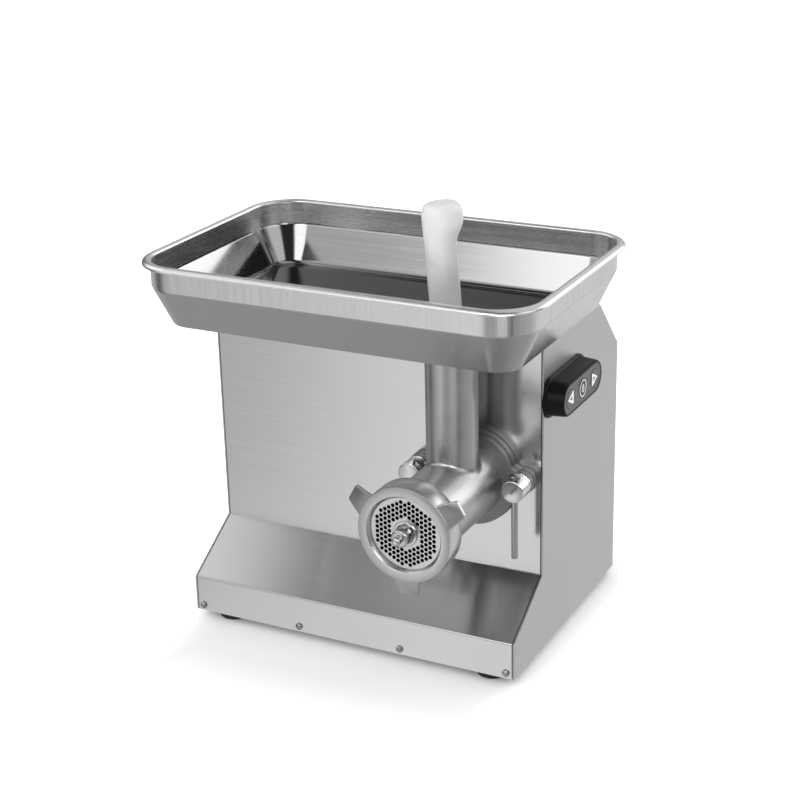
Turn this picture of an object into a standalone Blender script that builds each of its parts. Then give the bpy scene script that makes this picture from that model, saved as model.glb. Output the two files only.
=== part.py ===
"""Bench meat grinder: sheet-steel cabinet, gear train, grinding head, feed tray and pestle.

Sizes are in millimetres and are turned into metres where meshes are made. X runs to the right seen from
the front, Y into the machine and Z up. Y = 0 is the apron's front; ORIGIN then moves the base's centre to zero.
"""

import math

import bmesh
import bpy
from mathutils import Matrix, Vector

MM = 0.001
ORIGIN = (6.0, 96.5, 0.0)
GAP = 0.3
ROUND_STEPS = 24
FINE_STEPS = 36

# Cabinet
HALF_WIDTH = 195.0
SIDE_SHEET = 2.0
SHEET = 1.5
FLOOR_Z = 10.0
APRON_Z = 51.0
FRONT_Y = 75.8
CREASE_Z = 96.9
TOP_Z = 350.0
TOP_REAR_Y = 236.0
REAR_Y = 293.6
REAR_TOP_Z = 288.7
BASE_SHEET = 2.0
FOOT_X = 160.0
FOOT_Y = (24.0, 266.0)
FOOT_R = 17.0
SCREW_X = (-185.7, -61.9, 61.9, 185.7)
SCREW_Z = 16.5
SCREW_HEAD_R = 4.0
SCREW_SHANK_R = 2.0
VENT_ROWS = 6
VENT_PITCH = 14.0
VENT_Z = 60.0
VENT_HALF = 22.0
VENT_SIDE = 27.0
GLAND_X = -140.0
GLAND_Z = 45.0

# Barrel axis, along Y, and the flange behind it
AXIS_X = 117.8
AXIS_Z = 202.0
HEAD_FLANGE_Y = (59.3, 67.0)
HEAD_FLANGE_R = 52.0
PLATE_FLANGE_Y = (67.3, 75.5)
PLATE_FLANGE_R = 53.0
SPIGOT_R = 34.0
SPIGOT_END = 71.0
PANEL_HOLE_R = 44.0
FLANGE_HUB_R = 42.0
FLANGE_HUB_END = 81.7
FLANGE_BORE_R = 30.0
EAR_X = 59.0
CLAMP_Z = 205.5
EAR_R = 12.3
WAIST_R = 8.0
STUD_R = 5.0
STUD_HOLE_R = 5.4

# Head
BARREL_R = 39.0
BARREL_BORE_R = 33.0
BARREL_FRONT_Y = -88.0
THREAD_R = 45.0
PLATE_SEAT_R = 41.3
PLATE_SEAT_Y = -80.7
KNIFE_ROOM_R = 38.5
KNIFE_ROOM_Y = -70.5
BUSH_SEAT_R = 21.3
BUSH_SEAT_Y = 50.0
TUBE_Y = 20.6
TUBE_R = 27.0
TUBE_BORE_R = 25.0
TUBE_TOP = 356.7
KEY_R = 2.5
KEY_HOLE_R = 2.8

# Worm, knife, plate and ring
WORM_R = 32.0
WORM_CORE_R = 16.0
WORM_Y = (-67.0, 46.0)
WORM_PITCH = 40.0
WORM_STEPS = 16
WORM_CREST = 3
JOURNAL_R = 14.0
TANG_HALF = 9.0
SQUARE_HALF = 9.1
PIN_R = 9.0
PIN_Y = -103.5
STUB_R = 4.5
STUB_Y = -112.0
KNIFE_Y = (-80.4, -71.4)
KNIFE_R = 36.5
PLATE_Y = (-89.0, -81.0)
PLATE_R = 41.0
PLATE_BORE_R = 9.3
PLATE_HUB_R = 13.0
PLATE_HUB_Y = -90.8
HOLE_R = 1.85
HOLE_PITCH = 5.1
HOLES_FROM = 17.0
HOLES_TO = 33.6
RING_Y = (-94.0, -66.0)
RING_R = 50.3
RING_LIP_Y = -89.3
RING_THREAD_R = 45.3
RING_LIP_R = 38.0
RING_MOUTH_R = 40.7
LUG_ROOT_R = 47.0
LUG_ROOT_Y = -93.4
LUG_TIP_Y = -86.0
LUG_THICK = 4.0
LUG_TIP_R = 69.0
LUG_ANGLES = (31.0, 151.0, 271.0)
LUG_ROOT_HALF = 18.0
LUG_TIP_HALF = 7.5

# Clamp knobs and tommy bars
KNOB_R = 12.0
KNOB_Y = (36.0, 59.0)
STUD_END = 75.2
BAR_R = 3.5
BAR_HOLE_R = 3.8
BAR_Y = 43.4
BAR_BOTTOM = 128.0
CAP_R = 6.3
CAP_HEIGHT = 5.0
LEANS = {"left": 38.0, "right": 0.0}

# Tray
TRAY_FLOOR = (-192.0, -27.0, 204.0, 222.0)
TRAY_FLOOR_Z = 357.0
TRAY_FLARE = 20.5
TRAY_SHOULDER_Z = 400.5
TRAY_RIM_Z = 429.0
TRAY_RIM_WIDTH = 8.4
TRAY_SHEET = 1.5
TRAY_FLOOR_RADIUS = 25.0
TRAY_SHOULDER_RADIUS = 45.0
TRAY_CORNER_STEPS = 6
COLLAR_R = 24.6
COLLAR_BORE_R = 23.4
COLLAR_BOTTOM = 342.0

# Pestle, on an axis that leans inside the tube
PESTLE_POINT = (AXIS_X, TUBE_Y, 335.0)
PESTLE_AXIS = Vector((-0.0621, -0.0321, 0.9976)).normalized()
PESTLE_BULGE = Vector((0.889, 0.457, 0.0))
PESTLE_RINGS = (
    (-95.5, 14.5, 0.0),
    (-93.0, 16.0, 0.0),
    (114.0, 16.0, 0.0),
    (127.0, 16.9, 0.8),
    (140.0, 18.6, 1.9),
    (152.0, 20.2, 3.0),
    (161.0, 20.5, 3.5),
    (168.0, 19.6, 3.5),
    (172.0, 17.4, 3.5),
    (173.6, 14.0, 3.5),
    (173.8, 3.0, 3.5),
    (172.6, 1.5, 3.5),
)

# Switch on the right side panel
SWITCH_Y = 129.0
SWITCH_Z = 293.5
SWITCH_BASE = (195.3, 198.7)
SWITCH_BASE_HALF = (59.0, 22.0)
SWITCH_FACE_X = 217.5
SWITCH_RINGS = ((199.0, 56.5, 19.5), (213.5, 55.0, 18.0), (217.5, 52.0, 15.5))
SWITCH_WINDOW_HALF = (45.0, 13.0)
BUTTONS = (("reverse_button", 94.0), ("stop_button", 128.6), ("start_button", 162.0))
BUTTON_R = 10.0
BUTTON_HOLE_R = 10.4
BUTTON_X = (207.0, 218.2)
BUTTON_FLOOR_X = 204.0

# Gear train, all on axes along Y at the barrel's height
OUTPUT_TEETH = 48
LAY_TEETH = 16
OUTPUT_MODULE = 2.5
WHEEL_TEETH = 40
PINION_TEETH = 13
MOTOR_MODULE = 1.5
LAY_X = AXIS_X - OUTPUT_MODULE * (OUTPUT_TEETH + LAY_TEETH) / 2
MOTOR_X = LAY_X - MOTOR_MODULE * (WHEEL_TEETH + PINION_TEETH) / 2
OUTPUT_GEAR_Y = (104.0, 124.0)
LAY_PINION_Y = (102.0, 126.0)
WHEEL_Y = (129.0, 139.0)
MOTOR_PINION_Y = (127.0, 141.0)
TOOTH_TIP = 0.85
TOOTH_ROOT = 1.25
TIP_HALF = 0.3
ROOT_HALF = 1.1
HOUSING_Y = (82.0, 150.0)
HOUSING_FACE = 6.0
HOUSING_WALL = 5.0
HOUSING_R = 71.0
HOUSING_SMALL_X = 5.0
HOUSING_SMALL_R = 46.0
COVER_Y = (150.3, 156.0)
SHAFT_R = 20.0
SHAFT_REAR_R = 15.0
SHAFT_Y = (72.6, 149.7)
SOCKET_HALF = 9.3
SOCKET_END = 92.0
LAY_SHAFT_R = 10.0
LAY_SHAFT_Y = (90.0, 149.6)
ROTOR_SHAFT_R = 8.0
ROTOR_SHAFT_END = 272.0
MOTOR_R = 68.0
MOTOR_Y = (156.3, 246.0)
STATOR_Y = (170.0, 232.0)
STATOR_BORE_R = 36.0
ROTOR_R = 35.4
BELL_Y = (246.3, 253.0)
FAN_Y = (257.0, 267.0)
FAN_R = 52.0
FAN_BLADES = 8
COWL_Y = (253.3, 281.0)
CAPACITOR_X = -130.0
CAPACITOR_Y = 190.0

FINISHES = {
    "sheet": ((0.62, 0.62, 0.61), 1.0, 0.32),
    "bright": ((0.72, 0.72, 0.71), 1.0, 0.18),
    "cast": ((0.55, 0.55, 0.54), 1.0, 0.42),
    "grey_paint": ((0.25, 0.26, 0.28), 0.1, 0.5),
    "black": ((0.02, 0.02, 0.02), 0.0, 0.55),
    "rubber": ((0.015, 0.015, 0.015), 0.0, 0.8),
    "bronze": ((0.6, 0.38, 0.16), 1.0, 0.35),
    "copper": ((0.5, 0.25, 0.12), 1.0, 0.45),
    "white": ((0.85, 0.85, 0.83), 0.0, 0.35),
}


def clear_scene():
    for obj in list(bpy.data.objects):
        bpy.data.objects.remove(obj, do_unlink=True)


def add_mesh(name, points, faces):
    """Makes an object from points in millimetres, with its faces turned outwards."""
    bm = bmesh.new()
    verts = [bm.verts.new(Vector(point) * MM) for point in points]
    for face in faces:
        bm.faces.new([verts[i] for i in face])
    bmesh.ops.recalc_face_normals(bm, faces=bm.faces)
    mesh = bpy.data.meshes.new(name)
    bm.to_mesh(mesh)
    bm.free()
    obj = bpy.data.objects.new(name, mesh)
    bpy.context.scene.collection.objects.link(obj)
    return obj


def loft(name, rings):
    """Joins rings that have equal point counts and closes both ends."""
    count = len(rings[0])
    points = [point for ring in rings for point in ring]
    faces = [list(range(count)), list(range(len(points) - count, len(points)))]
    for start in range(0, len(points) - count, count):
        for i in range(count):
            j = (i + 1) % count
            faces.append((start + i, start + j, start + count + j, start + count + i))
    return add_mesh(name, points, faces)


def on_axis(axis, along, u, v):
    """A point from its position along an axis and its two other coordinates, in X, Y, Z order."""
    return {"X": (along, u, v), "Y": (u, along, v), "Z": (u, v, along)}[axis]


def prism(name, outline, axis, low, high):
    return loft(name, [[on_axis(axis, along, u, v) for u, v in outline] for along in (low, high)])


def box(name, low, high):
    outline = ((low[0], low[1]), (high[0], low[1]), (high[0], high[1]), (low[0], high[1]))
    return prism(name, outline, "Z", low[2], high[2])


def circle(centre, radius, steps=ROUND_STEPS):
    angles = [2 * math.pi * i / steps for i in range(steps)]
    return [(centre[0] + radius * math.cos(a), centre[1] + radius * math.sin(a)) for a in angles]


def cylinder(name, axis, centre, radius, low, high, steps=ROUND_STEPS):
    return prism(name, circle(centre, radius, steps), axis, low, high)


def turned(name, axis, centre, profile, steps=ROUND_STEPS):
    """Turns a profile of (radius, along) that starts and ends at the axis, with flat or pointed ends."""
    rings = [[on_axis(axis, along, u, v) for u, v in circle(centre, r, steps)] for r, along in profile]
    return loft(name, rings)


def tube(name, axis, centre, profile, steps=ROUND_STEPS):
    """Turns a closed profile of (radius, along) that stays clear of the axis."""
    points = []
    for radius, along in profile:
        points += [on_axis(axis, along, u, v) for u, v in circle(centre, radius, steps)]
    faces = []
    for ring in range(len(profile)):
        start = ring * steps
        after = (ring + 1) % len(profile) * steps
        for i in range(steps):
            j = (i + 1) % steps
            faces.append((start + i, start + j, after + j, after + i))
    return add_mesh(name, points, faces)


def ring_piece(name, axis, centre, inner, outer, low, high, steps=ROUND_STEPS):
    profile = ((inner, low), (outer, low), (outer, high), (inner, high))
    return tube(name, axis, centre, profile, steps)


def combine(obj, others, operation):
    """Bakes a Boolean with each other object into obj and removes the others."""
    for other in others:
        modifier = obj.modifiers.new(operation, "BOOLEAN")
        modifier.solver = "EXACT"
        modifier.operation = operation
        modifier.object = other
        graph = bpy.context.evaluated_depsgraph_get()
        mesh = bpy.data.meshes.new_from_object(obj.evaluated_get(graph))
        obj.modifiers.clear()
        obj.data = mesh
        bpy.data.objects.remove(other, do_unlink=True)
    return obj


def cut(obj, *cutters):
    return combine(obj, cutters, "DIFFERENCE")


def join(obj, *others):
    return combine(obj, others, "UNION")


def finish(obj, look, origin=None):
    """Gives the piece its material and moves its origin to a point on its axis."""
    colour, metallic, roughness = FINISHES[look]
    material = bpy.data.materials.new(obj.name)
    material.use_nodes = True
    shader = material.node_tree.nodes["Principled BSDF"]
    shader.inputs["Base Color"].default_value = (*colour, 1.0)
    shader.inputs["Metallic"].default_value = metallic
    shader.inputs["Roughness"].default_value = roughness
    obj.data.materials.clear()
    obj.data.materials.append(material)
    point = Vector(origin or ORIGIN) * MM
    obj.data.transform(Matrix.Translation(-point))
    obj.location = point - Vector(ORIGIN) * MM
    return obj


def offset_line(points, distance):
    """The open line moved sideways by a distance, with its corners kept sharp."""
    moved = []
    for i, point in enumerate(points):
        here = Vector(point)
        before = (here - Vector(points[i - 1])).normalized() if i else None
        after = (Vector(points[i + 1]) - here).normalized() if i + 1 < len(points) else None
        first = before or after
        second = after or before
        normal = Vector((first.y + second.y, -first.x - second.x)).normalized()
        moved.append(here + normal * distance / normal.dot(Vector((first.y, -first.x))))
    return moved


def folded_sheet(name, line, thickness, axis, low, high):
    """A sheet that follows an open line, thickened towards the line's right-hand side."""
    outline = [tuple(p) for p in line] + [tuple(p) for p in reversed(offset_line(line, thickness))]
    return prism(name, outline, axis, low, high)


def stadium(centre, half_length, half_height, steps=10):
    """A slot-shaped outline whose long side runs along the first coordinate."""
    points = []
    for side, start in ((1, -90), (-1, 90)):
        middle = centre[0] + side * (half_length - half_height)
        for i in range(steps + 1):
            angle = math.radians(start + 180 * i / steps)
            points.append((middle + half_height * math.cos(angle), centre[1] + half_height * math.sin(angle)))
    return points


def rounded_box_outline(bounds, grow, radius, steps=TRAY_CORNER_STEPS):
    x0, y0, x1, y1 = bounds[0] - grow, bounds[1] - grow, bounds[2] + grow, bounds[3] + grow
    corners = (
        (x1 - radius, y1 - radius, 0),
        (x0 + radius, y1 - radius, 90),
        (x0 + radius, y0 + radius, 180),
        (x1 - radius, y0 + radius, 270),
    )
    points = []
    for cx, cy, start in corners:
        for i in range(steps + 1):
            angle = math.radians(start + 90 * i / steps)
            points.append((cx + radius * math.cos(angle), cy + radius * math.sin(angle)))
    return points


def polar(centre, radius, degrees):
    angle = math.radians(degrees)
    return (centre[0] + radius * math.cos(angle), centre[1] + radius * math.sin(angle))


def cabinet_lines():
    """The front and rear sheets' outer lines and the side panels' outline, as (Y, Z) points."""
    front = [(0, FLOOR_Z), (0, APRON_Z), (FRONT_Y, CREASE_Z), (FRONT_Y, TOP_Z)]
    rear = [(REAR_Y, REAR_TOP_Z), (REAR_Y, FLOOR_Z)]
    corner = Vector((TOP_REAR_Y, TOP_Z))
    seam = corner + (Vector(rear[0]) - corner).normalized() * (SHEET + GAP)
    side = front + [tuple(corner)] + rear
    return front + [(TOP_REAR_Y - GAP, TOP_Z)], [tuple(seam)] + rear, side


def build_cabinet():
    inner = HALF_WIDTH - SIDE_SHEET - GAP
    front, rear, side = cabinet_lines()
    wrap = folded_sheet("wrap_panel", front, SHEET, "X", -inner, inner)
    cut(wrap, cylinder("hole", "Y", (AXIS_X, AXIS_Z), PANEL_HOLE_R, FRONT_Y - 5, FRONT_Y + 5))
    for x in SCREW_X:
        cut(wrap, cylinder("hole", "Y", (x, SCREW_Z), SCREW_SHANK_R + GAP, -5, 5, 12))
    finish(wrap, "sheet")
    back = folded_sheet("rear_panel", rear, SHEET, "X", -inner, inner)
    for number in range(2 * VENT_ROWS):
        x = MOTOR_X + (VENT_SIDE if number % 2 else -VENT_SIDE)
        outline = stadium((x, VENT_Z + number // 2 * VENT_PITCH), VENT_HALF, 3.0, 4)
        cut(back, prism("slot", outline, "Y", REAR_Y - 5, REAR_Y + 5))
    cut(back, cylinder("hole", "Y", (GLAND_X, GLAND_Z), 9.4, REAR_Y - 5, REAR_Y + 5, 20))
    finish(back, "sheet")
    left = prism("left_side_panel", side, "X", -HALF_WIDTH, -HALF_WIDTH + SIDE_SHEET)
    finish(left, "sheet")
    right = prism("right_side_panel", side, "X", HALF_WIDTH - SIDE_SHEET, HALF_WIDTH)
    window = stadium((SWITCH_Y, SWITCH_Z), *SWITCH_WINDOW_HALF)
    cut(right, prism("window", window, "X", HALF_WIDTH - 5, HALF_WIDTH + 5))
    finish(right, "sheet")
    low = (-inner, SHEET + GAP, FLOOR_Z)
    high = (inner, REAR_Y - SHEET - GAP, FLOOR_Z + BASE_SHEET)
    finish(box("base_plate", low, high), "sheet")


def build_feet_and_screws():
    profile = ((FOOT_R - 3, 0), (FOOT_R, 1.5), (FOOT_R, 6), (FOOT_R - 2, FLOOR_Z - GAP))
    spots = [(side * FOOT_X, y) for y in FOOT_Y for side in (-1, 1)]
    for spot, name in zip(spots, ("front_left", "front_right", "rear_left", "rear_right")):
        finish(turned(name + "_foot", "Z", spot, profile, 24), "rubber")
    for number, x in enumerate(SCREW_X, 1):
        profile = (
            (SCREW_HEAD_R * 0.6, -2.9),
            (SCREW_HEAD_R * 0.9, -2.2),
            (SCREW_HEAD_R, -1.2),
            (SCREW_HEAD_R, -GAP),
            (SCREW_SHANK_R, -GAP),
            (SCREW_SHANK_R, 8.0),
        )
        screw = turned(f"apron_screw_{number}", "Y", (x, SCREW_Z), profile, 16)
        slot = box("slot", (x - 5, -4, SCREW_Z - 0.5), (x + 5, -1.9, SCREW_Z + 0.5))
        finish(cut(screw, slot), "bright")


def arc(centre, radius, start, end, steps):
    return [polar(centre, radius, start + (end - start) * i / steps) for i in range(steps + 1)]


def eared_outline(disc, ear, steps=5):
    """A disc round the barrel's axis with a round ear on each side, and a small hollow beside each ear."""
    middle = Vector((AXIS_X, AXIS_Z))
    wide, narrow = disc + WAIST_R, ear + WAIST_R
    points = []
    for spot in reversed(ear_spots()):
        line = Vector(spot) - middle
        aim = math.degrees(math.atan2(line.y, line.x))
        across = line.length
        alpha = math.degrees(math.acos((across**2 + wide**2 - narrow**2) / (2 * across * wide)))
        beta = math.degrees(math.acos((across**2 + narrow**2 - wide**2) / (2 * across * narrow)))
        below, above = polar(middle, wide, aim - alpha), polar(middle, wide, aim + alpha)
        points += arc(below, WAIST_R, aim - alpha + 180, aim + beta, steps)[:-1]
        points += arc(spot, ear, aim - 180 + beta, aim + 180 - beta, 2 * steps)[:-1]
        points += arc(above, WAIST_R, aim - beta + 360, aim + alpha + 180, steps)[:-1]
        next_aim = 180 - aim if aim < 90 else 540 - aim
        points += arc(middle, disc, aim + alpha, next_aim - alpha, 4 * steps)[:-1]
    return points


def ear_spots():
    return [(AXIS_X + side * EAR_X, CLAMP_Z) for side in (-1, 1)]


def build_mounting_flange():
    centre = (AXIS_X, AXIS_Z)
    front, back = PLATE_FLANGE_Y
    flange = prism("mounting_flange", eared_outline(PLATE_FLANGE_R, EAR_R + 0.5), "Y", front, back)
    join(flange, cylinder("hub", "Y", centre, FLANGE_HUB_R, back - 2, FLANGE_HUB_END, FINE_STEPS))
    bore = (
        (SPIGOT_R + GAP, front - 5),
        (SPIGOT_R + GAP, 72.4),
        (FLANGE_BORE_R, 72.4),
        (FLANGE_BORE_R, FLANGE_HUB_END + 5),
    )
    cut(flange, turned("bore", "Y", centre, bore, FINE_STEPS))
    for spot in ear_spots():
        cut(flange, cylinder("hole", "Y", spot, STUD_HOLE_R, front - 5, back + 5, 20))
    finish(flange, "cast")
    finish(ring_piece("oil_seal", "Y", centre, SHAFT_R + GAP, FLANGE_BORE_R - GAP, 73.5, 81.5), "rubber")


def build_head():
    centre = (AXIS_X, AXIS_Z)
    low, high = HEAD_FLANGE_Y
    profile = (
        (THREAD_R, BARREL_FRONT_Y),
        (THREAD_R, KNIFE_ROOM_Y + 0.5),
        (BARREL_R, RING_Y[1] - GAP),
        (BARREL_R, high - 1.0),
        (SPIGOT_R, high - 1.0),
        (SPIGOT_R, SPIGOT_END),
    )
    head = turned("grinding_head", "Y", centre, profile, FINE_STEPS)
    join(head, prism("flange", eared_outline(HEAD_FLANGE_R, EAR_R), "Y", low, high))
    join(head, cylinder("tube", "Z", (AXIS_X, TUBE_Y), TUBE_R, AXIS_Z, TUBE_TOP, FINE_STEPS))
    for spot in ear_spots():
        cut(head, cylinder("hole", "Y", spot, STUD_HOLE_R, low - 5, high + 5, 20))
    bore = (
        (PLATE_SEAT_R, BARREL_FRONT_Y - 5),
        (PLATE_SEAT_R, PLATE_SEAT_Y),
        (KNIFE_ROOM_R, PLATE_SEAT_Y),
        (KNIFE_ROOM_R, KNIFE_ROOM_Y),
        (BARREL_BORE_R, KNIFE_ROOM_Y),
        (BARREL_BORE_R, BUSH_SEAT_Y),
        (BUSH_SEAT_R, BUSH_SEAT_Y),
        (BUSH_SEAT_R, SPIGOT_END + 5),
    )
    cut(head, turned("bore", "Y", centre, bore, FINE_STEPS))
    throat = cylinder("throat", "Z", (AXIS_X, TUBE_Y), TUBE_BORE_R, AXIS_Z, TUBE_TOP + 5, FINE_STEPS)
    key = cylinder("key", "Y", (AXIS_X, AXIS_Z + PLATE_R), KEY_HOLE_R, BARREL_FRONT_Y - 5, -74.0, 12)
    finish(cut(head, throat, key), "cast", (AXIS_X, HEAD_FLANGE_Y[1], AXIS_Z))
    finish(ring_piece("worm_bush", "Y", centre, JOURNAL_R + GAP, BUSH_SEAT_R - GAP, 50.5, 66.0), "bronze")
    pin = cylinder("plate_key_pin", "Y", (AXIS_X, AXIS_Z + PLATE_R), KEY_R, -87.5, -74.5, 12)
    finish(pin, "bright")


def worm_screw():
    """A core with one helical flight, as rings whose crest moves round with each step along Y."""
    step = WORM_PITCH / WORM_STEPS
    count = int((WORM_Y[1] - WORM_Y[0]) / step)
    rings = []
    for row in range(count + 1):
        ring = []
        for i in range(WORM_STEPS):
            on_crest = (i - row) % WORM_STEPS < WORM_CREST
            angle = 360.0 * i / WORM_STEPS
            u, v = polar((AXIS_X, AXIS_Z), WORM_R if on_crest else WORM_CORE_R + 1, angle)
            ring.append((u, WORM_Y[0] + row * step, v))
        rings.append(ring)
    return loft("worm", rings)


def square(half):
    return ((AXIS_X - half, AXIS_Z - half), (AXIS_X + half, AXIS_Z - half)) + (
        (AXIS_X + half, AXIS_Z + half),
        (AXIS_X - half, AXIS_Z + half),
    )


def build_worm():
    centre = (AXIS_X, AXIS_Z)
    profile = (
        (STUB_R - 1.2, STUB_Y),
        (STUB_R, STUB_Y + 1.2),
        (STUB_R, PIN_Y - 1.6),
        (STUB_R - 1.0, PIN_Y - 1.4),
        (STUB_R - 1.0, PIN_Y),
        (PIN_R - 1.0, PIN_Y),
        (PIN_R, PIN_Y + 1.0),
        (PIN_R, KNIFE_Y[1] + GAP),
        (WORM_CORE_R, KNIFE_Y[1] + GAP),
        (WORM_CORE_R, 47.5),
        (JOURNAL_R, 47.5),
        (JOURNAL_R, 66.5),
        (10.0, 66.5),
        (8.0, 80.0),
    )
    worm = worm_screw()
    join(worm, turned("core", "Y", centre, profile, 24))
    join(worm, prism("square", square(SQUARE_HALF), "Y", PLATE_Y[1] + GAP, KNIFE_Y[1] + 1.0))
    join(worm, prism("tang", square(TANG_HALF), "Y", 66.0, 89.5))
    finish(worm, "bright", (AXIS_X, 0.0, AXIS_Z))
    outline = []
    for blade in range(4):
        angle = 90.0 * blade
        outline += [polar(centre, 17.0, angle - 24), polar(centre, KNIFE_R, angle - 4)]
        outline += [polar(centre, KNIFE_R, angle + 12), polar(centre, 17.0, angle + 40)]
    knife = prism("knife", outline, "Y", *KNIFE_Y)
    cut(knife, prism("square", square(SQUARE_HALF + GAP), "Y", KNIFE_Y[0] - 5, KNIFE_Y[1] + 5))
    finish(knife, "bright", (AXIS_X, KNIFE_Y[0], AXIS_Z))


def plate_hole_centres():
    column = HOLE_PITCH * math.sqrt(3) / 2
    centres = []
    for i in range(-8, 9):
        for j in range(-8, 8):
            u = i * column
            v = (j + 0.5 * (i % 2)) * HOLE_PITCH
            if HOLES_FROM < math.hypot(u, v) < HOLES_TO:
                centres.append((AXIS_X + u, AXIS_Z + v))
    return centres


def hole_cutters(centres, low, high):
    """One mesh that holds a six-sided prism for every hole."""
    points = []
    faces = []
    for centre in centres:
        start = len(points)
        for along in (low, high):
            points += [on_axis("Y", along, u, v) for u, v in circle(centre, HOLE_R, 6)]
        faces += [tuple(range(start, start + 6)), tuple(range(start + 6, start + 12))]
        for i in range(6):
            j = (i + 1) % 6
            faces.append((start + i, start + j, start + 6 + j, start + 6 + i))
    return add_mesh("holes", points, faces)


def lug(centre, middle):
    """A thin tab that narrows outwards and leans back from the ring's face."""
    ends = ((LUG_ROOT_R, LUG_ROOT_HALF, LUG_ROOT_Y), (LUG_TIP_R, LUG_TIP_HALF, LUG_TIP_Y))
    rings = []
    for radius, half, y in ends:
        low = polar(centre, radius, middle - half)
        high = polar(centre, radius, middle + half)
        spots = ((low, y), (high, y), (high, y + LUG_THICK), (low, y + LUG_THICK))
        rings.append([(u, along, v) for (u, v), along in spots])
    return loft("lug", rings)


def build_plate_and_ring():
    centre = (AXIS_X, AXIS_Z)
    low, high = PLATE_Y
    profile = (
        (PLATE_BORE_R, PLATE_HUB_Y),
        (PLATE_HUB_R - 1.5, PLATE_HUB_Y),
        (PLATE_HUB_R, low),
        (PLATE_R, low),
        (PLATE_R, high),
        (PLATE_BORE_R, high),
    )
    plate = tube("mincing_plate", "Y", centre, profile, FINE_STEPS)
    cut(plate, hole_cutters(plate_hole_centres(), low - 5, high + 5))
    notch = cylinder("notch", "Y", (AXIS_X, AXIS_Z + PLATE_R), KEY_HOLE_R, low - 5, high + 5, 12)
    finish(cut(plate, notch), "bright", (AXIS_X, low, AXIS_Z))
    front, back = RING_Y
    profile = (
        (RING_MOUTH_R, front),
        (RING_R - 1.0, front),
        (RING_R, front + 1.0),
        (RING_R, back),
        (RING_THREAD_R, back),
        (RING_THREAD_R, RING_LIP_Y),
        (RING_LIP_R, RING_LIP_Y),
    )
    ring = tube("ring_nut", "Y", centre, profile, FINE_STEPS)
    for angle in LUG_ANGLES:
        join(ring, lug(centre, angle))
    finish(ring, "cast", (AXIS_X, front, AXIS_Z))


def lean(obj, spot, degrees):
    """Turns a piece about a knob's axis, its top towards +X."""
    centre = Vector((spot[0], 0.0, spot[1])) * MM
    turn = Matrix.Rotation(math.radians(degrees), 4, "Y")
    obj.data.transform(Matrix.Translation(centre) @ turn @ Matrix.Translation(-centre))


def build_knobs():
    for name, spot in zip(("left", "right"), ear_spots()):
        x = spot[0]
        profile = (
            (KNOB_R - 1.5, KNOB_Y[0]),
            (KNOB_R, KNOB_Y[0] + 1.5),
            (KNOB_R, KNOB_Y[1] - 0.6),
            (KNOB_R - 0.6, KNOB_Y[1]),
            (STUD_R, KNOB_Y[1]),
            (STUD_R, STUD_END),
        )
        knob = turned(name + "_knob", "Y", spot, profile)
        cut(knob, cylinder("hole", "Z", (x, BAR_Y), BAR_HOLE_R, CLAMP_Z - 20, CLAMP_Z + 20, 16))
        lean(knob, spot, LEANS[name])
        finish(knob, "bright", (x, KNOB_Y[1], CLAMP_Z))
        rest = CLAMP_Z + KNOB_R + GAP
        profile = (
            (BAR_R - 0.6, BAR_BOTTOM),
            (BAR_R, BAR_BOTTOM + 0.6),
            (BAR_R, rest),
            (CAP_R, rest),
            (CAP_R, rest + CAP_HEIGHT - 1.2),
            (CAP_R - 1.2, rest + CAP_HEIGHT),
        )
        bar = turned(name + "_bar", "Z", (x, BAR_Y), profile, 20)
        lean(bar, spot, LEANS[name])
        finish(bar, "bright", (x, BAR_Y, CLAMP_Z))


def build_tray():
    inset = TRAY_SHEET * 0.2
    rim = TRAY_FLARE + TRAY_RIM_WIDTH
    levels = (
        (TRAY_FLOOR_Z, -6.0, TRAY_FLOOR_RADIUS - 6),
        (TRAY_FLOOR_Z + 1.6, -1.6, TRAY_FLOOR_RADIUS - 1.6),
        (TRAY_FLOOR_Z + 6.0, 2.8, TRAY_FLOOR_RADIUS + 2.8),
        (TRAY_SHOULDER_Z, TRAY_FLARE, TRAY_SHOULDER_RADIUS),
        (TRAY_RIM_Z - TRAY_SHEET, TRAY_FLARE, TRAY_SHOULDER_RADIUS),
        (TRAY_RIM_Z - TRAY_SHEET, rim, TRAY_SHOULDER_RADIUS + TRAY_RIM_WIDTH),
        (TRAY_RIM_Z, rim, TRAY_SHOULDER_RADIUS + TRAY_RIM_WIDTH),
        (TRAY_RIM_Z, TRAY_FLARE - TRAY_SHEET, TRAY_SHOULDER_RADIUS - TRAY_SHEET),
        (TRAY_SHOULDER_Z + inset, TRAY_FLARE - TRAY_SHEET, TRAY_SHOULDER_RADIUS - TRAY_SHEET),
        (TRAY_FLOOR_Z + 7.0, 1.6, TRAY_FLOOR_RADIUS + 1.6),
        (TRAY_FLOOR_Z + 3.0, -2.8, TRAY_FLOOR_RADIUS - 2.8),
        (TRAY_FLOOR_Z + TRAY_SHEET, -6.5, TRAY_FLOOR_RADIUS - 6.5),
    )
    rings = [[(x, y, z) for x, y in rounded_box_outline(TRAY_FLOOR, grow, r)] for z, grow, r in levels]
    tray = loft("feed_tray", rings)
    centre = (AXIS_X, TUBE_Y)
    join(tray, cylinder("collar", "Z", centre, COLLAR_R, COLLAR_BOTTOM, TRAY_FLOOR_Z + 1.0, FINE_STEPS))
    cut(tray, cylinder("hole", "Z", centre, COLLAR_BORE_R, COLLAR_BOTTOM - 5, TRAY_FLOOR_Z + 10, FINE_STEPS))
    finish(tray, "bright", (AXIS_X, TUBE_Y, TRAY_FLOOR_Z))


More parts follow.
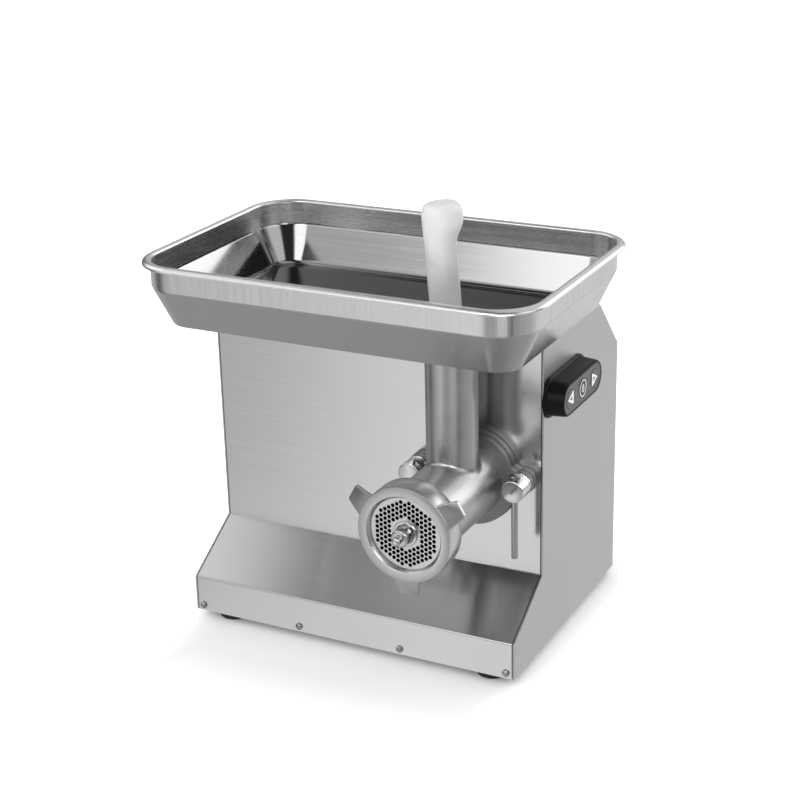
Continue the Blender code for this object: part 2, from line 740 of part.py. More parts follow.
def build_pestle():
    across = PESTLE_AXIS.cross(Vector((0, 1, 0))).normalized()
    other = PESTLE_AXIS.cross(across)
    rings = []
    for along, radius, shift in PESTLE_RINGS:
        middle = Vector(PESTLE_POINT) + PESTLE_AXIS * along + PESTLE_BULGE * shift
        rings.append([middle + across * u + other * v for u, v in circle((0, 0), radius)])
    finish(loft("pestle", rings), "white", PESTLE_POINT)


def build_switch():
    middle = (SWITCH_Y, SWITCH_Z)
    base = prism("switch_base", stadium(middle, *SWITCH_BASE_HALF), "X", *SWITCH_BASE)
    finish(base, "black")
    rings = []
    for x, half_length, half_height in SWITCH_RINGS:
        rings.append([(x, y, z) for y, z in stadium(middle, half_length, half_height)])
    housing = loft("switch_housing", rings)
    for name, y in BUTTONS:
        spot = (y, SWITCH_Z)
        cut(housing, cylinder("pocket", "X", spot, BUTTON_HOLE_R, BUTTON_FLOOR_X, SWITCH_FACE_X + 5, 24))
        low, high = BUTTON_X
        profile = ((BUTTON_R, low), (BUTTON_R, high - 0.6), (BUTTON_R - 0.6, high))
        finish(turned(name, "X", spot, profile, 24), "black", (low, *spot))
    finish(housing, "black")
    half_y, half_z = SWITCH_WINDOW_HALF
    low = (165.0, SWITCH_Y - half_y + half_z, SWITCH_Z - half_z + 2)
    high = (194.8, SWITCH_Y + half_y - half_z, SWITCH_Z + half_z - 2)
    finish(box("contact_block", low, high), "white")


def gear(name, teeth, module, centre_x, y_range, phase, bore):
    """A spur gear with straight-sided teeth; a tooth points in the direction of the phase, in degrees."""
    pitch = teeth * module / 2
    root = pitch - TOOTH_ROOT * module
    tip = pitch + TOOTH_TIP * module
    root_half = math.degrees(ROOT_HALF * module / root)
    tip_half = math.degrees(TIP_HALF * module / tip)
    outline = []
    for tooth in range(teeth):
        angle = phase + 360.0 * tooth / teeth
        for radius, turn in ((root, -root_half), (tip, -tip_half), (tip, tip_half), (root, root_half)):
            outline.append(polar((centre_x, AXIS_Z), radius, angle + turn))
    wheel = prism(name, outline, "Y", *y_range)
    if bore:
        cut(wheel, cylinder("bore", "Y", (centre_x, AXIS_Z), bore, y_range[0] - 5, y_range[1] + 5))
    return wheel


def build_gears():
    centre = (AXIS_X, AXIS_Z)
    output = gear("output_gear", OUTPUT_TEETH, OUTPUT_MODULE, AXIS_X, OUTPUT_GEAR_Y, 0.0, SHAFT_R + GAP)
    finish(output, "cast", (AXIS_X, OUTPUT_GEAR_Y[0], AXIS_Z))
    profile = (
        (SHAFT_R, SHAFT_Y[0]),
        (SHAFT_R, OUTPUT_GEAR_Y[1] + 4),
        (SHAFT_REAR_R, OUTPUT_GEAR_Y[1] + 4),
        (SHAFT_REAR_R, SHAFT_Y[1]),
    )
    shaft = turned("drive_shaft", "Y", centre, profile)
    cut(shaft, prism("socket", square(SOCKET_HALF), "Y", SHAFT_Y[0] - 5, SOCKET_END))
    finish(shaft, "bright", (AXIS_X, SHAFT_Y[0], AXIS_Z))
    lay = gear("lay_shaft", LAY_TEETH, OUTPUT_MODULE, LAY_X, LAY_PINION_Y, 180.0 / LAY_TEETH, None)
    join(lay, cylinder("shaft", "Y", (LAY_X, AXIS_Z), LAY_SHAFT_R, *LAY_SHAFT_Y, 24))
    finish(lay, "cast", (LAY_X, LAY_SHAFT_Y[0], AXIS_Z))
    wheel = gear("intermediate_gear", WHEEL_TEETH, MOTOR_MODULE, LAY_X, WHEEL_Y, 0.0, LAY_SHAFT_R + GAP)
    finish(wheel, "bronze", (LAY_X, WHEEL_Y[0], AXIS_Z))
    phase = 180.0 / PINION_TEETH
    pinion = gear("rotor_shaft", PINION_TEETH, MOTOR_MODULE, MOTOR_X, MOTOR_PINION_Y, phase, None)
    start = MOTOR_PINION_Y[0] + 2
    shaft = cylinder("shaft", "Y", (MOTOR_X, AXIS_Z), ROTOR_SHAFT_R, start, ROTOR_SHAFT_END, 20)
    finish(join(pinion, shaft), "bright", (MOTOR_X, MOTOR_PINION_Y[0], AXIS_Z))


def housing_outline(inset):
    """The outline round the large output circle and the small motor-side circle."""
    large = HOUSING_R - inset
    small = HOUSING_SMALL_R - inset
    lean = math.degrees(math.acos((large - small) / (AXIS_X - HOUSING_SMALL_X)))
    points = []
    for i in range(17):
        turn = -(180 - lean) + 2 * (180 - lean) * i / 16
        points.append(polar((AXIS_X, AXIS_Z), large, turn))
    for i in range(9):
        turn = 180 - lean + 2 * lean * i / 8
        points.append(polar((HOUSING_SMALL_X, AXIS_Z), small, turn))
    return points


def build_gearbox():
    front, rear = HOUSING_Y
    housing = prism("gearbox_housing", housing_outline(0.0), "Y", front, rear)
    inner_face = front + HOUSING_FACE
    cut(housing, prism("room", housing_outline(HOUSING_WALL), "Y", inner_face, rear + 5))
    spots = (((AXIS_X, AXIS_Z), 32.3, 37.0, 101.6), ((LAY_X, AXIS_Z), LAY_SHAFT_R + GAP, 15.0, 99.0))
    for centre, inner, outer, end in spots:
        join(housing, ring_piece("boss", "Y", centre, inner, outer, inner_face - 2, end))
    cut(housing, cylinder("hole", "Y", (AXIS_X, AXIS_Z), 24.0, front - 5, inner_face + 5))
    finish(housing, "grey_paint")
    low, high = COVER_Y
    cover = prism("gearbox_cover", housing_outline(0.0), "Y", low, high)
    spots = (((AXIS_X, AXIS_Z), 26.3, 31.0, 139.0), ((LAY_X, AXIS_Z), LAY_SHAFT_R + GAP, 15.0, 141.0))
    for centre, inner, outer, start in spots:
        join(cover, ring_piece("boss", "Y", centre, inner, outer, start, low + 2))
    cut(cover, cylinder("hole", "Y", (MOTOR_X, AXIS_Z), 12.0, low - 5, high + 5, 24))
    finish(cover, "grey_paint")
    centre = (AXIS_X, AXIS_Z)
    finish(ring_piece("front_bearing", "Y", centre, SHAFT_R + GAP, 32.0, 88.3, 101.3), "bright")
    finish(ring_piece("rear_bearing", "Y", centre, SHAFT_REAR_R + GAP, 26.0, 139.3, 150.0), "bright")


def build_motor():
    centre = (MOTOR_X, AXIS_Z)
    finish(ring_piece("motor_shell", "Y", centre, MOTOR_R - 4, MOTOR_R, *MOTOR_Y, FINE_STEPS), "grey_paint")
    stator = ring_piece("stator_core", "Y", centre, STATOR_BORE_R, MOTOR_R - 4.3, *STATOR_Y, FINE_STEPS)
    finish(stator, "copper")
    bell = ring_piece("motor_rear_bell", "Y", centre, ROTOR_SHAFT_R + GAP, MOTOR_R, *BELL_Y, FINE_STEPS)
    join(bell, ring_piece("boss", "Y", centre, ROTOR_SHAFT_R + GAP, 16.0, 240.0, BELL_Y[0] + 2))
    finish(bell, "grey_paint")
    core = ring_piece("rotor_core", "Y", centre, ROTOR_SHAFT_R + GAP, ROTOR_R, *STATOR_Y)
    finish(core, "cast", (MOTOR_X, STATOR_Y[0], AXIS_Z))
    fan = ring_piece("cooling_fan", "Y", centre, ROTOR_SHAFT_R + GAP, 18.0, *FAN_Y)
    for blade in range(FAN_BLADES):
        angle = 360.0 * blade / FAN_BLADES
        outline = [polar(centre, 16.0, angle - 8), polar(centre, FAN_R, angle - 2)]
        outline += [polar(centre, FAN_R, angle + 2), polar(centre, 16.0, angle + 8)]
        join(fan, prism("blade", outline, "Y", FAN_Y[0] + 1, FAN_Y[1] - 1))
    finish(fan, "black", (MOTOR_X, FAN_Y[0], AXIS_Z))
    low, high = COWL_Y
    profile = (
        (MOTOR_R, low),
        (MOTOR_R, high - 3),
        (MOTOR_R - 4, high),
        (30.0, high),
        (30.0, high - 1.5),
        (MOTOR_R - 4.5, high - 1.5),
        (MOTOR_R - 1.5, high - 3.5),
        (MOTOR_R - 1.5, low),
    )
    finish(tube("fan_cowl", "Y", centre, profile, FINE_STEPS), "black")
    line = ((-80, 12.3), (-62, 12.3), (-38, 130), (36, 130), (60, 12.3), (78, 12.3))
    line = [(MOTOR_X + 1.0 + x, z) for x, z in line]
    bracket = folded_sheet("motor_bracket", line, -3.0, "Y", 170.0, 232.0)
    finish(bracket, "sheet")
    profile = ((20.0, 12.3), (20.0, 100.0), (17.0, 103.0), (5.0, 103.0), (5.0, 109.0))
    finish(turned("run_capacitor", "Z", (CAPACITOR_X, CAPACITOR_Y), profile, 24), "white")


def build_gland():
    profile = (
        (5.0, 283.0),
        (9.0, 283.0),
        (9.0, REAR_Y + GAP),
        (13.0, REAR_Y + GAP),
        (13.0, 299.0),
        (8.5, 305.0),
        (5.0, 305.0),
    )
    finish(tube("cable_gland", "Y", (GLAND_X, GLAND_Z), profile, 20), "black")


def main():
    clear_scene()
    build_cabinet()
    build_feet_and_screws()
    build_mounting_flange()
    build_head()
    build_worm()
    build_plate_and_ring()
    build_knobs()
    build_tray()
    build_pestle()
    build_switch()
    build_gears()
    build_gearbox()
    build_motor()
    build_gland()


main()
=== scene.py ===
"""The meat grinder's looks: detailed pieces, metal and plastic materials, studio light and camera."""

import math

import bmesh
import bpy
from mathutils import Matrix, Vector


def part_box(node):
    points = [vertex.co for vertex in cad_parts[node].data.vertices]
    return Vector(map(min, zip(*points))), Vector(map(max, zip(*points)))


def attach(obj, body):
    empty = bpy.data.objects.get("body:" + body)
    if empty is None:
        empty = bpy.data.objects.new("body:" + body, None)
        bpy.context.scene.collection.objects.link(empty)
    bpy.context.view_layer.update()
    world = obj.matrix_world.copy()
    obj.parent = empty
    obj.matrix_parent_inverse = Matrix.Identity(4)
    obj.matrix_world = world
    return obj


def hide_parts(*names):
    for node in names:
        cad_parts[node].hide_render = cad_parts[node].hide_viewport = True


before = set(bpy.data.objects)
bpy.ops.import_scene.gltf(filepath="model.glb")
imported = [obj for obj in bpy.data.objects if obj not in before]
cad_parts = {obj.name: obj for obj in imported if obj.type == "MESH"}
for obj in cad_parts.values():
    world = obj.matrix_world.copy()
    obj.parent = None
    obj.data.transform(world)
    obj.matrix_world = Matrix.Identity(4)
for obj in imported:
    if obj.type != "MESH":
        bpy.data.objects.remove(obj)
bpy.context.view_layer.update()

MM = 0.001
# Shapes below are in millimetres from the cabinet's middle (X), its apron (Y) and the floor (Z).
# Noise scales, grain depths, and the sizes of the floor and the card are in metres.
wrap_low, wrap_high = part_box("wrap_panel")
BASE = Vector(((wrap_low.x + wrap_high.x) / 2, wrap_low.y, 0.0))


def local_box(node):
    low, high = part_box(node)
    return (low - BASE) / MM, (high - BASE) / MM


drive_low, drive_high = local_box("drive_shaft")
AXIS_X = (drive_low.x + drive_high.x) / 2
AXIS_Z = (drive_low.z + drive_high.z) / 2
knob_low, knob_high = local_box("right_knob")
EAR_X = (knob_low.x + knob_high.x) / 2 - AXIS_X
CLAMP_Z = (knob_low.z + knob_high.z) / 2
TUBE_Y = 20.6
TUBE_R = 27.0
TUBE_TOP = 356.7
BARREL_R = 39.0
AXIS = (AXIS_X, AXIS_Z)
SWITCH = (129.0, 293.5)


# ---------------------------------------------------------------- mesh helpers


def add_mesh(name, points, faces, sharp=35.0):
    bm = bmesh.new()
    verts = [bm.verts.new(BASE + Vector(point) * MM) for point in points]
    for face in faces:
        bm.faces.new([verts[i] for i in face])
    bmesh.ops.recalc_face_normals(bm, faces=bm.faces)
    mesh = bpy.data.meshes.new(name)
    bm.to_mesh(mesh)
    bm.free()
    obj = bpy.data.objects.new(name, mesh)
    bpy.context.scene.collection.objects.link(obj)
    smooth(obj, sharp)
    return obj


def smooth(obj, sharp=35.0):
    obj.data.shade_smooth()
    obj.data.set_sharp_from_angle(angle=math.radians(sharp))


def loft(name, rings, sharp=35.0):
    count = len(rings[0])
    points = [point for ring in rings for point in ring]
    faces = [list(range(count)), list(range(len(points) - count, len(points)))]
    for start in range(0, len(points) - count, count):
        for i in range(count):
            j = (i + 1) % count
            faces.append((start + i, start + j, start + count + j, start + count + i))
    return add_mesh(name, points, faces, sharp)


def on_axis(axis, along, u, v):
    return {"X": (along, u, v), "Y": (u, along, v), "Z": (u, v, along)}[axis]


def circle(centre, radius, steps=96):
    angles = [2 * math.pi * i / steps for i in range(steps)]
    return [(centre[0] + radius * math.cos(a), centre[1] + radius * math.sin(a)) for a in angles]


def prism(name, outline, axis, low, high, sharp=35.0):
    return loft(name, [[on_axis(axis, along, u, v) for u, v in outline] for along in (low, high)], sharp)


def cylinder(name, axis, centre, radius, low, high, steps=96):
    return prism(name, circle(centre, radius, steps), axis, low, high)


def turned(name, axis, centre, profile, steps=96, sharp=35.0):
    rings = [[on_axis(axis, along, u, v) for u, v in circle(centre, r, steps)] for r, along in profile]
    return loft(name, rings, sharp)


def tube(name, axis, centre, profile, steps=96, sharp=35.0):
    points = []
    for radius, along in profile:
        points += [on_axis(axis, along, u, v) for u, v in circle(centre, radius, steps)]
    return add_mesh(name, points, wrapped_faces(len(profile), steps), sharp)


def wrapped_faces(rings, steps):
    """Quads of a closed tube: rings of points joined round and end to end."""
    faces = []
    for ring in range(rings):
        start = ring * steps
        after = (ring + 1) % rings * steps
        for i in range(steps):
            j = (i + 1) % steps
            faces.append((start + i, start + j, after + j, after + i))
    return faces


def box(name, low, high):
    outline = ((low[0], low[1]), (high[0], low[1]), (high[0], high[1]), (low[0], high[1]))
    return prism(name, outline, "Z", low[2], high[2])


def apply_modifiers(obj):
    graph = bpy.context.evaluated_depsgraph_get()
    mesh = bpy.data.meshes.new_from_object(obj.evaluated_get(graph))
    obj.modifiers.clear()
    obj.data = mesh


def even(obj):
    """Gives flat faces flat normals right up to their bends, so that they mirror like flat sheet."""
    modifier = obj.modifiers.new("even", "WEIGHTED_NORMAL")
    modifier.weight = 100
    modifier.keep_sharp = True
    apply_modifiers(obj)


def combine(obj, others, operation):
    for other in others:
        modifier = obj.modifiers.new(operation, "BOOLEAN")
        modifier.solver = "EXACT"
        modifier.operation = operation
        modifier.object = other
        apply_modifiers(obj)
        bpy.data.objects.remove(other, do_unlink=True)
    return obj


def cut(obj, *cutters):
    return combine(obj, cutters, "DIFFERENCE")


def join(obj, *others):
    return combine(obj, others, "UNION")


def bevel(obj, width, segments=2, angle=40.0, sharp=35.0):
    """Rounds the edges sharper than an angle, so that they catch the light."""
    modifier = obj.modifiers.new("Bevel", "BEVEL")
    modifier.width = width * MM
    modifier.segments = segments
    modifier.limit_method = "ANGLE"
    modifier.angle_limit = math.radians(angle)
    modifier.use_clamp_overlap = True
    apply_modifiers(obj)
    smooth(obj, sharp)
    return obj


def fillet(points, radii, steps=6, closed=False):
    """A 2-D line whose corners are rounded by the radius given for each; 0 keeps a corner."""
    count = len(points)
    line = []
    for i, (point, radius) in enumerate(zip(points, radii)):
        here = Vector(point)
        if radius <= 0 or (not closed and i in (0, count - 1)):
            line.append(tuple(here))
            continue
        back = (Vector(points[i - 1]) - here).normalized()
        ahead = (Vector(points[(i + 1) % count]) - here).normalized()
        half = math.acos(max(-1.0, min(1.0, back.dot(ahead)))) / 2
        reach = radius / math.tan(half)
        centre = here + (back + ahead).normalized() * radius / math.sin(half)
        first = here + back * reach - centre
        last = here + ahead * reach - centre
        start = math.atan2(first.y, first.x)
        sweep = (math.atan2(last.y, last.x) - start + math.pi) % (2 * math.pi) - math.pi
        for k in range(steps + 1):
            angle = start + sweep * k / steps
            line.append((centre.x + radius * math.cos(angle), centre.y + radius * math.sin(angle)))
    return line


def offset_line(points, distance):
    moved = []
    for i, point in enumerate(points):
        here = Vector(point)
        before = (here - Vector(points[i - 1])).normalized() if i else None
        after = (Vector(points[i + 1]) - here).normalized() if i + 1 < len(points) else None
        first = before or after
        second = after or before
        normal = Vector((first.y + second.y, -first.x - second.x)).normalized()
        moved.append(tuple(here + normal * distance / normal.dot(Vector((first.y, -first.x)))))
    return moved


def polar(centre, radius, degrees):
    angle = math.radians(degrees)
    return (centre[0] + radius * math.cos(angle), centre[1] + radius * math.sin(angle))


def stadium(centre, half_length, half_height, corner=None, steps=12):
    """A slot-shaped outline; corner is the ends' corner radius, half the height for full rounds."""
    x, y = half_length, half_height
    corner = corner or half_height
    points = [(-x, -y), (x, -y), (x, y), (-x, y)]
    line = fillet(points, [corner] * 4, steps, closed=True)
    return [(centre[0] + u, centre[1] + v) for u, v in line]


def add_piece(obj, body, nodes, material):
    """Puts a finished piece on its CAD body in place of the nodes that it stands for."""
    kept = [polygon.material_index for polygon in obj.data.polygons]
    obj.data.materials.clear()
    for one in material if isinstance(material, (list, tuple)) else [material]:
        obj.data.materials.append(one)
    obj.data.polygons.foreach_set("material_index", [min(i, len(obj.data.materials) - 1) for i in kept])
    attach(obj, body)
    if nodes:
        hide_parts(*nodes)
    return obj


# ---------------------------------------------------------------- materials


class Nodes:
    """Short calls for the nodes that both materials and the world use."""

    def link(self, source, target):
        self.tree.links.new(source, target)

    def maths(self, operation, *values):
        node = self.tree.nodes.new("ShaderNodeMath")
        node.operation = operation
        for socket, value in zip(node.inputs, values):
            if isinstance(value, (int, float)):
                socket.default_value = value
            else:
                self.link(value, socket)
        return node.outputs[0]

    def step(self, value, start, full, height=1.0):
        """0 up to a start, rising smoothly to a height where the value is full."""
        node = self.tree.nodes.new("ShaderNodeMapRange")
        node.interpolation_type = "SMOOTHSTEP"
        node.inputs["From Min"].default_value = start
        node.inputs["From Max"].default_value = full
        node.inputs["To Max"].default_value = height
        self.link(value, node.inputs["Value"])
        return node.outputs["Result"]


class Graph(Nodes):
    """A material's node tree."""

    def __init__(self, name, colour, metallic, roughness, **constants):
        self.material = bpy.data.materials.new(name)
        self.material.use_nodes = True
        self.tree = self.material.node_tree
        self.shader = self.tree.nodes["Principled BSDF"]
        self.shader.inputs["Base Color"].default_value = (*colour, 1.0)
        self.shader.inputs["Metallic"].default_value = metallic
        self.shader.inputs["Roughness"].default_value = roughness
        for key, value in constants.items():
            self.shader.inputs[key.replace("_", " ")].default_value = value
        self.coords = self.tree.nodes.new("ShaderNodeTexCoord").outputs["Object"]

    def noise(self, scale, detail=3.0, rough=0.55, vector=None):
        """Noise whose scale is in cycles per metre, one number or one for each axis."""
        mapping = self.tree.nodes.new("ShaderNodeMapping")
        sizes = scale if isinstance(scale, (tuple, list)) else (scale,) * 3
        mapping.inputs["Scale"].default_value = sizes
        self.link(vector or self.coords, mapping.inputs["Vector"])
        node = self.tree.nodes.new("ShaderNodeTexNoise")
        node.inputs["Scale"].default_value = 1.0
        node.inputs["Detail"].default_value = detail
        node.inputs["Roughness"].default_value = rough
        self.link(mapping.outputs["Vector"], node.inputs["Vector"])
        return node.outputs["Fac"]

    def spread(self, source, low, high, from_low=0.3, from_high=0.7):
        node = self.tree.nodes.new("ShaderNodeMapRange")
        node.inputs["From Min"].default_value = from_low
        node.inputs["From Max"].default_value = from_high
        node.inputs["To Min"].default_value = low
        node.inputs["To Max"].default_value = high
        self.link(source, node.inputs["Value"])
        return node.outputs["Result"]

    def mix(self, factor, first, second):
        node = self.tree.nodes.new("ShaderNodeMix")
        node.data_type = "RGBA"
        self.link(factor, node.inputs[0])
        for socket, value in ((node.inputs[6], first), (node.inputs[7], second)):
            if isinstance(value, tuple):
                socket.default_value = (*value, 1.0)
            else:
                self.link(value, socket)
        return node.outputs[2]

    def bump(self, height, distance):
        node = self.tree.nodes.new("ShaderNodeBump")
        node.inputs["Strength"].default_value = 1.0
        node.inputs["Distance"].default_value = distance
        self.link(height, node.inputs["Height"])
        return node.outputs["Normal"]

    def outside(self, axis, start, width):
        """0 inside a distance from the middle along an axis (0 or 1), rising to 1 over a width."""
        split = self.tree.nodes.new("ShaderNodeSeparateXYZ")
        self.link(self.coords, split.inputs[0])
        return self.step(self.maths("ABSOLUTE", split.outputs[axis]), start, start + width)

    def to(self, socket, value):
        self.link(value, self.shader.inputs[socket])


def brushed_steel(name, colour, roughness, grain, depth, across=None, stretch=0.6, spots=0.05):
    """Sheet steel with a straight grain.

    grain gives the noise's cycles per metre along X, Y and Z, and across is the direction
    that the grain blurs.
    """
    graph = Graph(name, colour, 1.0, roughness)
    lines = graph.noise(grain, 4.0, 0.6)
    clouds = graph.noise(9.0, 2.0)
    graph.to("Roughness", graph.maths("ADD", graph.spread(lines, roughness - 0.03, roughness + 0.03),
                                      graph.spread(clouds, -0.015, 0.02)))
    dark = tuple(c * (1.0 - spots) for c in colour)
    light = tuple(min(1.0, c * (1.0 + spots)) for c in colour)
    graph.to("Base Color", graph.mix(graph.spread(lines, 0.0, 1.0, 0.35, 0.65), dark, light))
    graph.to("Normal", graph.bump(lines, depth))
    if across:
        graph.shader.inputs["Anisotropic"].default_value = stretch
        aim = graph.tree.nodes.new("ShaderNodeCombineXYZ")
        for socket, value in zip(aim.inputs, across):
            socket.default_value = value
        graph.link(aim.outputs[0], graph.shader.inputs["Tangent"])
    return graph.material


def cast_steel(name, colour, roughness, scale, depth):
    """Blasted cast steel: a fine grain with a few shallow pits."""
    graph = Graph(name, colour, 1.0, roughness)
    grain = graph.noise(scale, 4.0, 0.65)
    clouds = graph.noise(28.0, 3.0)
    graph.to("Roughness", graph.maths("ADD", graph.spread(grain, roughness - 0.05, roughness + 0.07),
                                      graph.spread(clouds, -0.03, 0.05)))
    dark = tuple(c * 0.86 for c in colour)
    graph.to("Base Color", graph.mix(graph.spread(clouds, 0.0, 1.0), dark, colour))
    graph.to("Normal", graph.bump(grain, depth))
    return graph.material


def turned_steel(name, colour, roughness, axis, centre, depth, pitch=900.0):
    """Machined steel with fine rings round an axis and a lathe grain along it."""
    graph = Graph(name, colour, 1.0, roughness)
    split = graph.tree.nodes.new("ShaderNodeSeparateXYZ")
    graph.link(graph.coords, split.inputs[0])
    first, second, along = {"Y": ("X", "Z", "Y"), "Z": ("X", "Y", "Z"), "X": ("Y", "Z", "X")}[axis]
    u = graph.maths("SUBTRACT", split.outputs[first], centre[0])
    v = graph.maths("SUBTRACT", split.outputs[second], centre[1])
    squares = graph.maths("ADD", graph.maths("MULTIPLY", u, u), graph.maths("MULTIPLY", v, v))
    radius = graph.maths("SQRT", squares)
    place = graph.tree.nodes.new("ShaderNodeCombineXYZ")
    graph.link(radius, place.inputs[0])
    graph.link(split.outputs[along], place.inputs[1])
    rings = graph.noise((pitch, pitch, 1.0), 3.0, 0.6, place.outputs[0])
    clouds = graph.noise(40.0, 2.0)
    graph.to("Roughness", graph.maths("ADD", graph.spread(rings, roughness - 0.04, roughness + 0.06),
                                      graph.spread(clouds, -0.02, 0.04)))
    dark = tuple(c * 0.92 for c in colour)
    graph.to("Base Color", graph.mix(graph.spread(rings, 0.0, 1.0), dark, colour))
    graph.to("Normal", graph.bump(rings, depth))
    return graph.material


def plastic(name, colour, roughness, scale, depth, **constants):
    """Moulded plastic or rubber with a fine texture and slight wear in its gloss."""
    graph = Graph(name, colour, 0.0, roughness, **constants)
    grain = graph.noise(scale, 3.0)
    clouds = graph.noise(35.0, 3.0)
    graph.to("Roughness", graph.maths("ADD", graph.spread(grain, roughness - 0.04, roughness + 0.04),
                                      graph.spread(clouds, -0.04, 0.05)))
    dark = tuple(c * 0.85 for c in colour)
    graph.to("Base Color", graph.mix(graph.spread(clouds, 0.0, 1.0), dark, colour))
    graph.to("Normal", graph.bump(grain, depth))
    return graph.material


def row(x, z):
    """A point of the barrel's plane in the row frame, for the turned materials."""
    spot = BASE + Vector((x, 0.0, z)) * MM
    return (spot.x, spot.z)


def grey(level):
    return (level, level, level)


STEEL = (0.6, 0.6, 0.595)
BRIGHT_STEEL = (0.7, 0.7, 0.69)
UPWARD = (0.0, 0.3, 1.0)
GRAIN_ALONG_X = (6.0, 700.0, 700.0)
GRAIN_ALONG_Y = (700.0, 6.0, 700.0)
TRAY_GRAIN = (5.0, 300.0, 300.0)
POLISHED_DEPTH = 0.0000005

front_sheet = brushed_steel("sheet_front", STEEL, 0.17, GRAIN_ALONG_X, POLISHED_DEPTH, UPWARD, 0.7, 0.02)
side_sheet = brushed_steel(
    "sheet_side", (0.52, 0.52, 0.517), 0.36, GRAIN_ALONG_Y, POLISHED_DEPTH, UPWARD, 0.5, 0.02,
)
inside_sheet = brushed_steel("sheet_plain", grey(0.5), 0.4, (60.0, 800.0, 800.0), 0.00002)
tray_inside = brushed_steel("tray_mirror", grey(0.62), 0.09, TRAY_GRAIN, POLISHED_DEPTH, spots=0.02)
tray_floor = brushed_steel("tray_floor", grey(0.42), 0.11, TRAY_GRAIN, POLISHED_DEPTH, spots=0.03)
tray_outside = brushed_steel("tray_satin", grey(0.5), 0.25, (60.0, 60.0, 60.0), 0.0000003, spots=0.01)
tray_lip = brushed_steel("tray_lip", grey(0.8), 0.26, (5.0, 5.0, 400.0), 0.0000004, spots=0.04)
tray_rim = brushed_steel("tray_rim", grey(0.9), 0.3, (80.0, 80.0, 80.0), 0.000001, spots=0.02)
tray_band = brushed_steel("tray_brushed", grey(0.68), 0.25, (420.0, 420.0, 6.0), 0.000006, spots=0.07)
head_cast = cast_steel("head_cast", (0.6, 0.6, 0.59), 0.32, 900.0, 0.00006)
flange_cast = cast_steel("flange_cast", (0.3, 0.3, 0.295), 0.45, 1100.0, 0.0001)
ring_steel = turned_steel("ring_turned", (0.66, 0.66, 0.655), 0.3, "Y", row(*AXIS), 0.000015)
plate_steel = turned_steel("plate_ground", (0.66, 0.66, 0.65), 0.24, "Y", row(*AXIS), 0.000006)
# Near-black material for the plate's hole walls: painted shade for the dark inside of the holes, not the
# steel's own colour.
hole_painted_shade = cast_steel("hole_painted_shade", grey(0.03), 0.5, 900.0, 0.00002)
worm_steel = turned_steel("worm_turned", BRIGHT_STEEL, 0.2, "Y", row(*AXIS), 0.000008)
knob_steel = {}
for knob_side, knob_name in ((-1, "left"), (1, "right")):
    screw_axis = row(AXIS_X + knob_side * EAR_X, CLAMP_Z)
    knob_steel[knob_side] = turned_steel(
        f"knob_turned_{knob_name}", BRIGHT_STEEL, 0.15, "Y", screw_axis, 0.000006,
    )
bar_steel = brushed_steel("bar_polished", (0.46, 0.46, 0.456), 0.11, (900.0, 900.0, 12.0), 0.000004)
dark_cap = brushed_steel("bar_cap", grey(0.3), 0.25, (900.0, 900.0, 900.0), 0.00001)
screw_steel = brushed_steel("screw_zinc", grey(0.5), 0.3, (900.0, 300.0, 900.0), 0.00002)
pestle_white = plastic(
    "pestle_polyethylene", (0.64, 0.64, 0.63), 0.34, 120.0, 0.00005,
    Subsurface_Weight=0.35, Subsurface_Radius=grey(0.02), Subsurface_Scale=1.0,
)
boot_black = plastic("boot_rubber", grey(0.004), 0.4, 500.0, 0.00002, Specular_IOR_Level=0.15)
face_grey = plastic("membrane_grey", grey(0.09), 0.45, 900.0, 0.00004)
button_black = plastic("button_black", grey(0.008), 0.3, 600.0, 0.00001)
print_white = plastic("print_white", grey(0.8), 0.5, 600.0, 0.00001)
foot_black = plastic("foot_rubber", grey(0.012), 0.75, 400.0, 0.00006)
grey_paint = plastic("paint_grey", (0.2, 0.21, 0.23), 0.5, 300.0, 0.00004)
bronze = cast_steel("bronze", (0.6, 0.38, 0.16), 0.35, 500.0, 0.00003)
winding = brushed_steel("winding", (0.5, 0.25, 0.12), 0.45, (500.0, 20.0, 500.0), 0.0001)


# ---------------------------------------------------------------- cabinet

HALF_WIDTH = 195.0
SEAM = 0.75
SIDE_SHEET = 2.0
SHEET = 1.5
BOTTOM_Z = 10.0
TOP_Z = 350.0
APRON_Z = 51.0
PANEL_Y = 75.8
PANEL_Z = 96.9
CHAMFER_Y = 236.0
CHAMFER_Z = 288.7
REAR_Y = 293.6
SCREW_X = (-185.7, -61.9, 61.9, 185.7)
SCREW_Z = 16.5
VENT_Z = 60.0
VENT_PITCH = 14.0
VENT_FROM_MOTOR = 27.0


def folded_sheet(name, line, low, high):
    outline = line + list(reversed(offset_line(line, SHEET)))
    return prism(name, outline, "X", low, high)


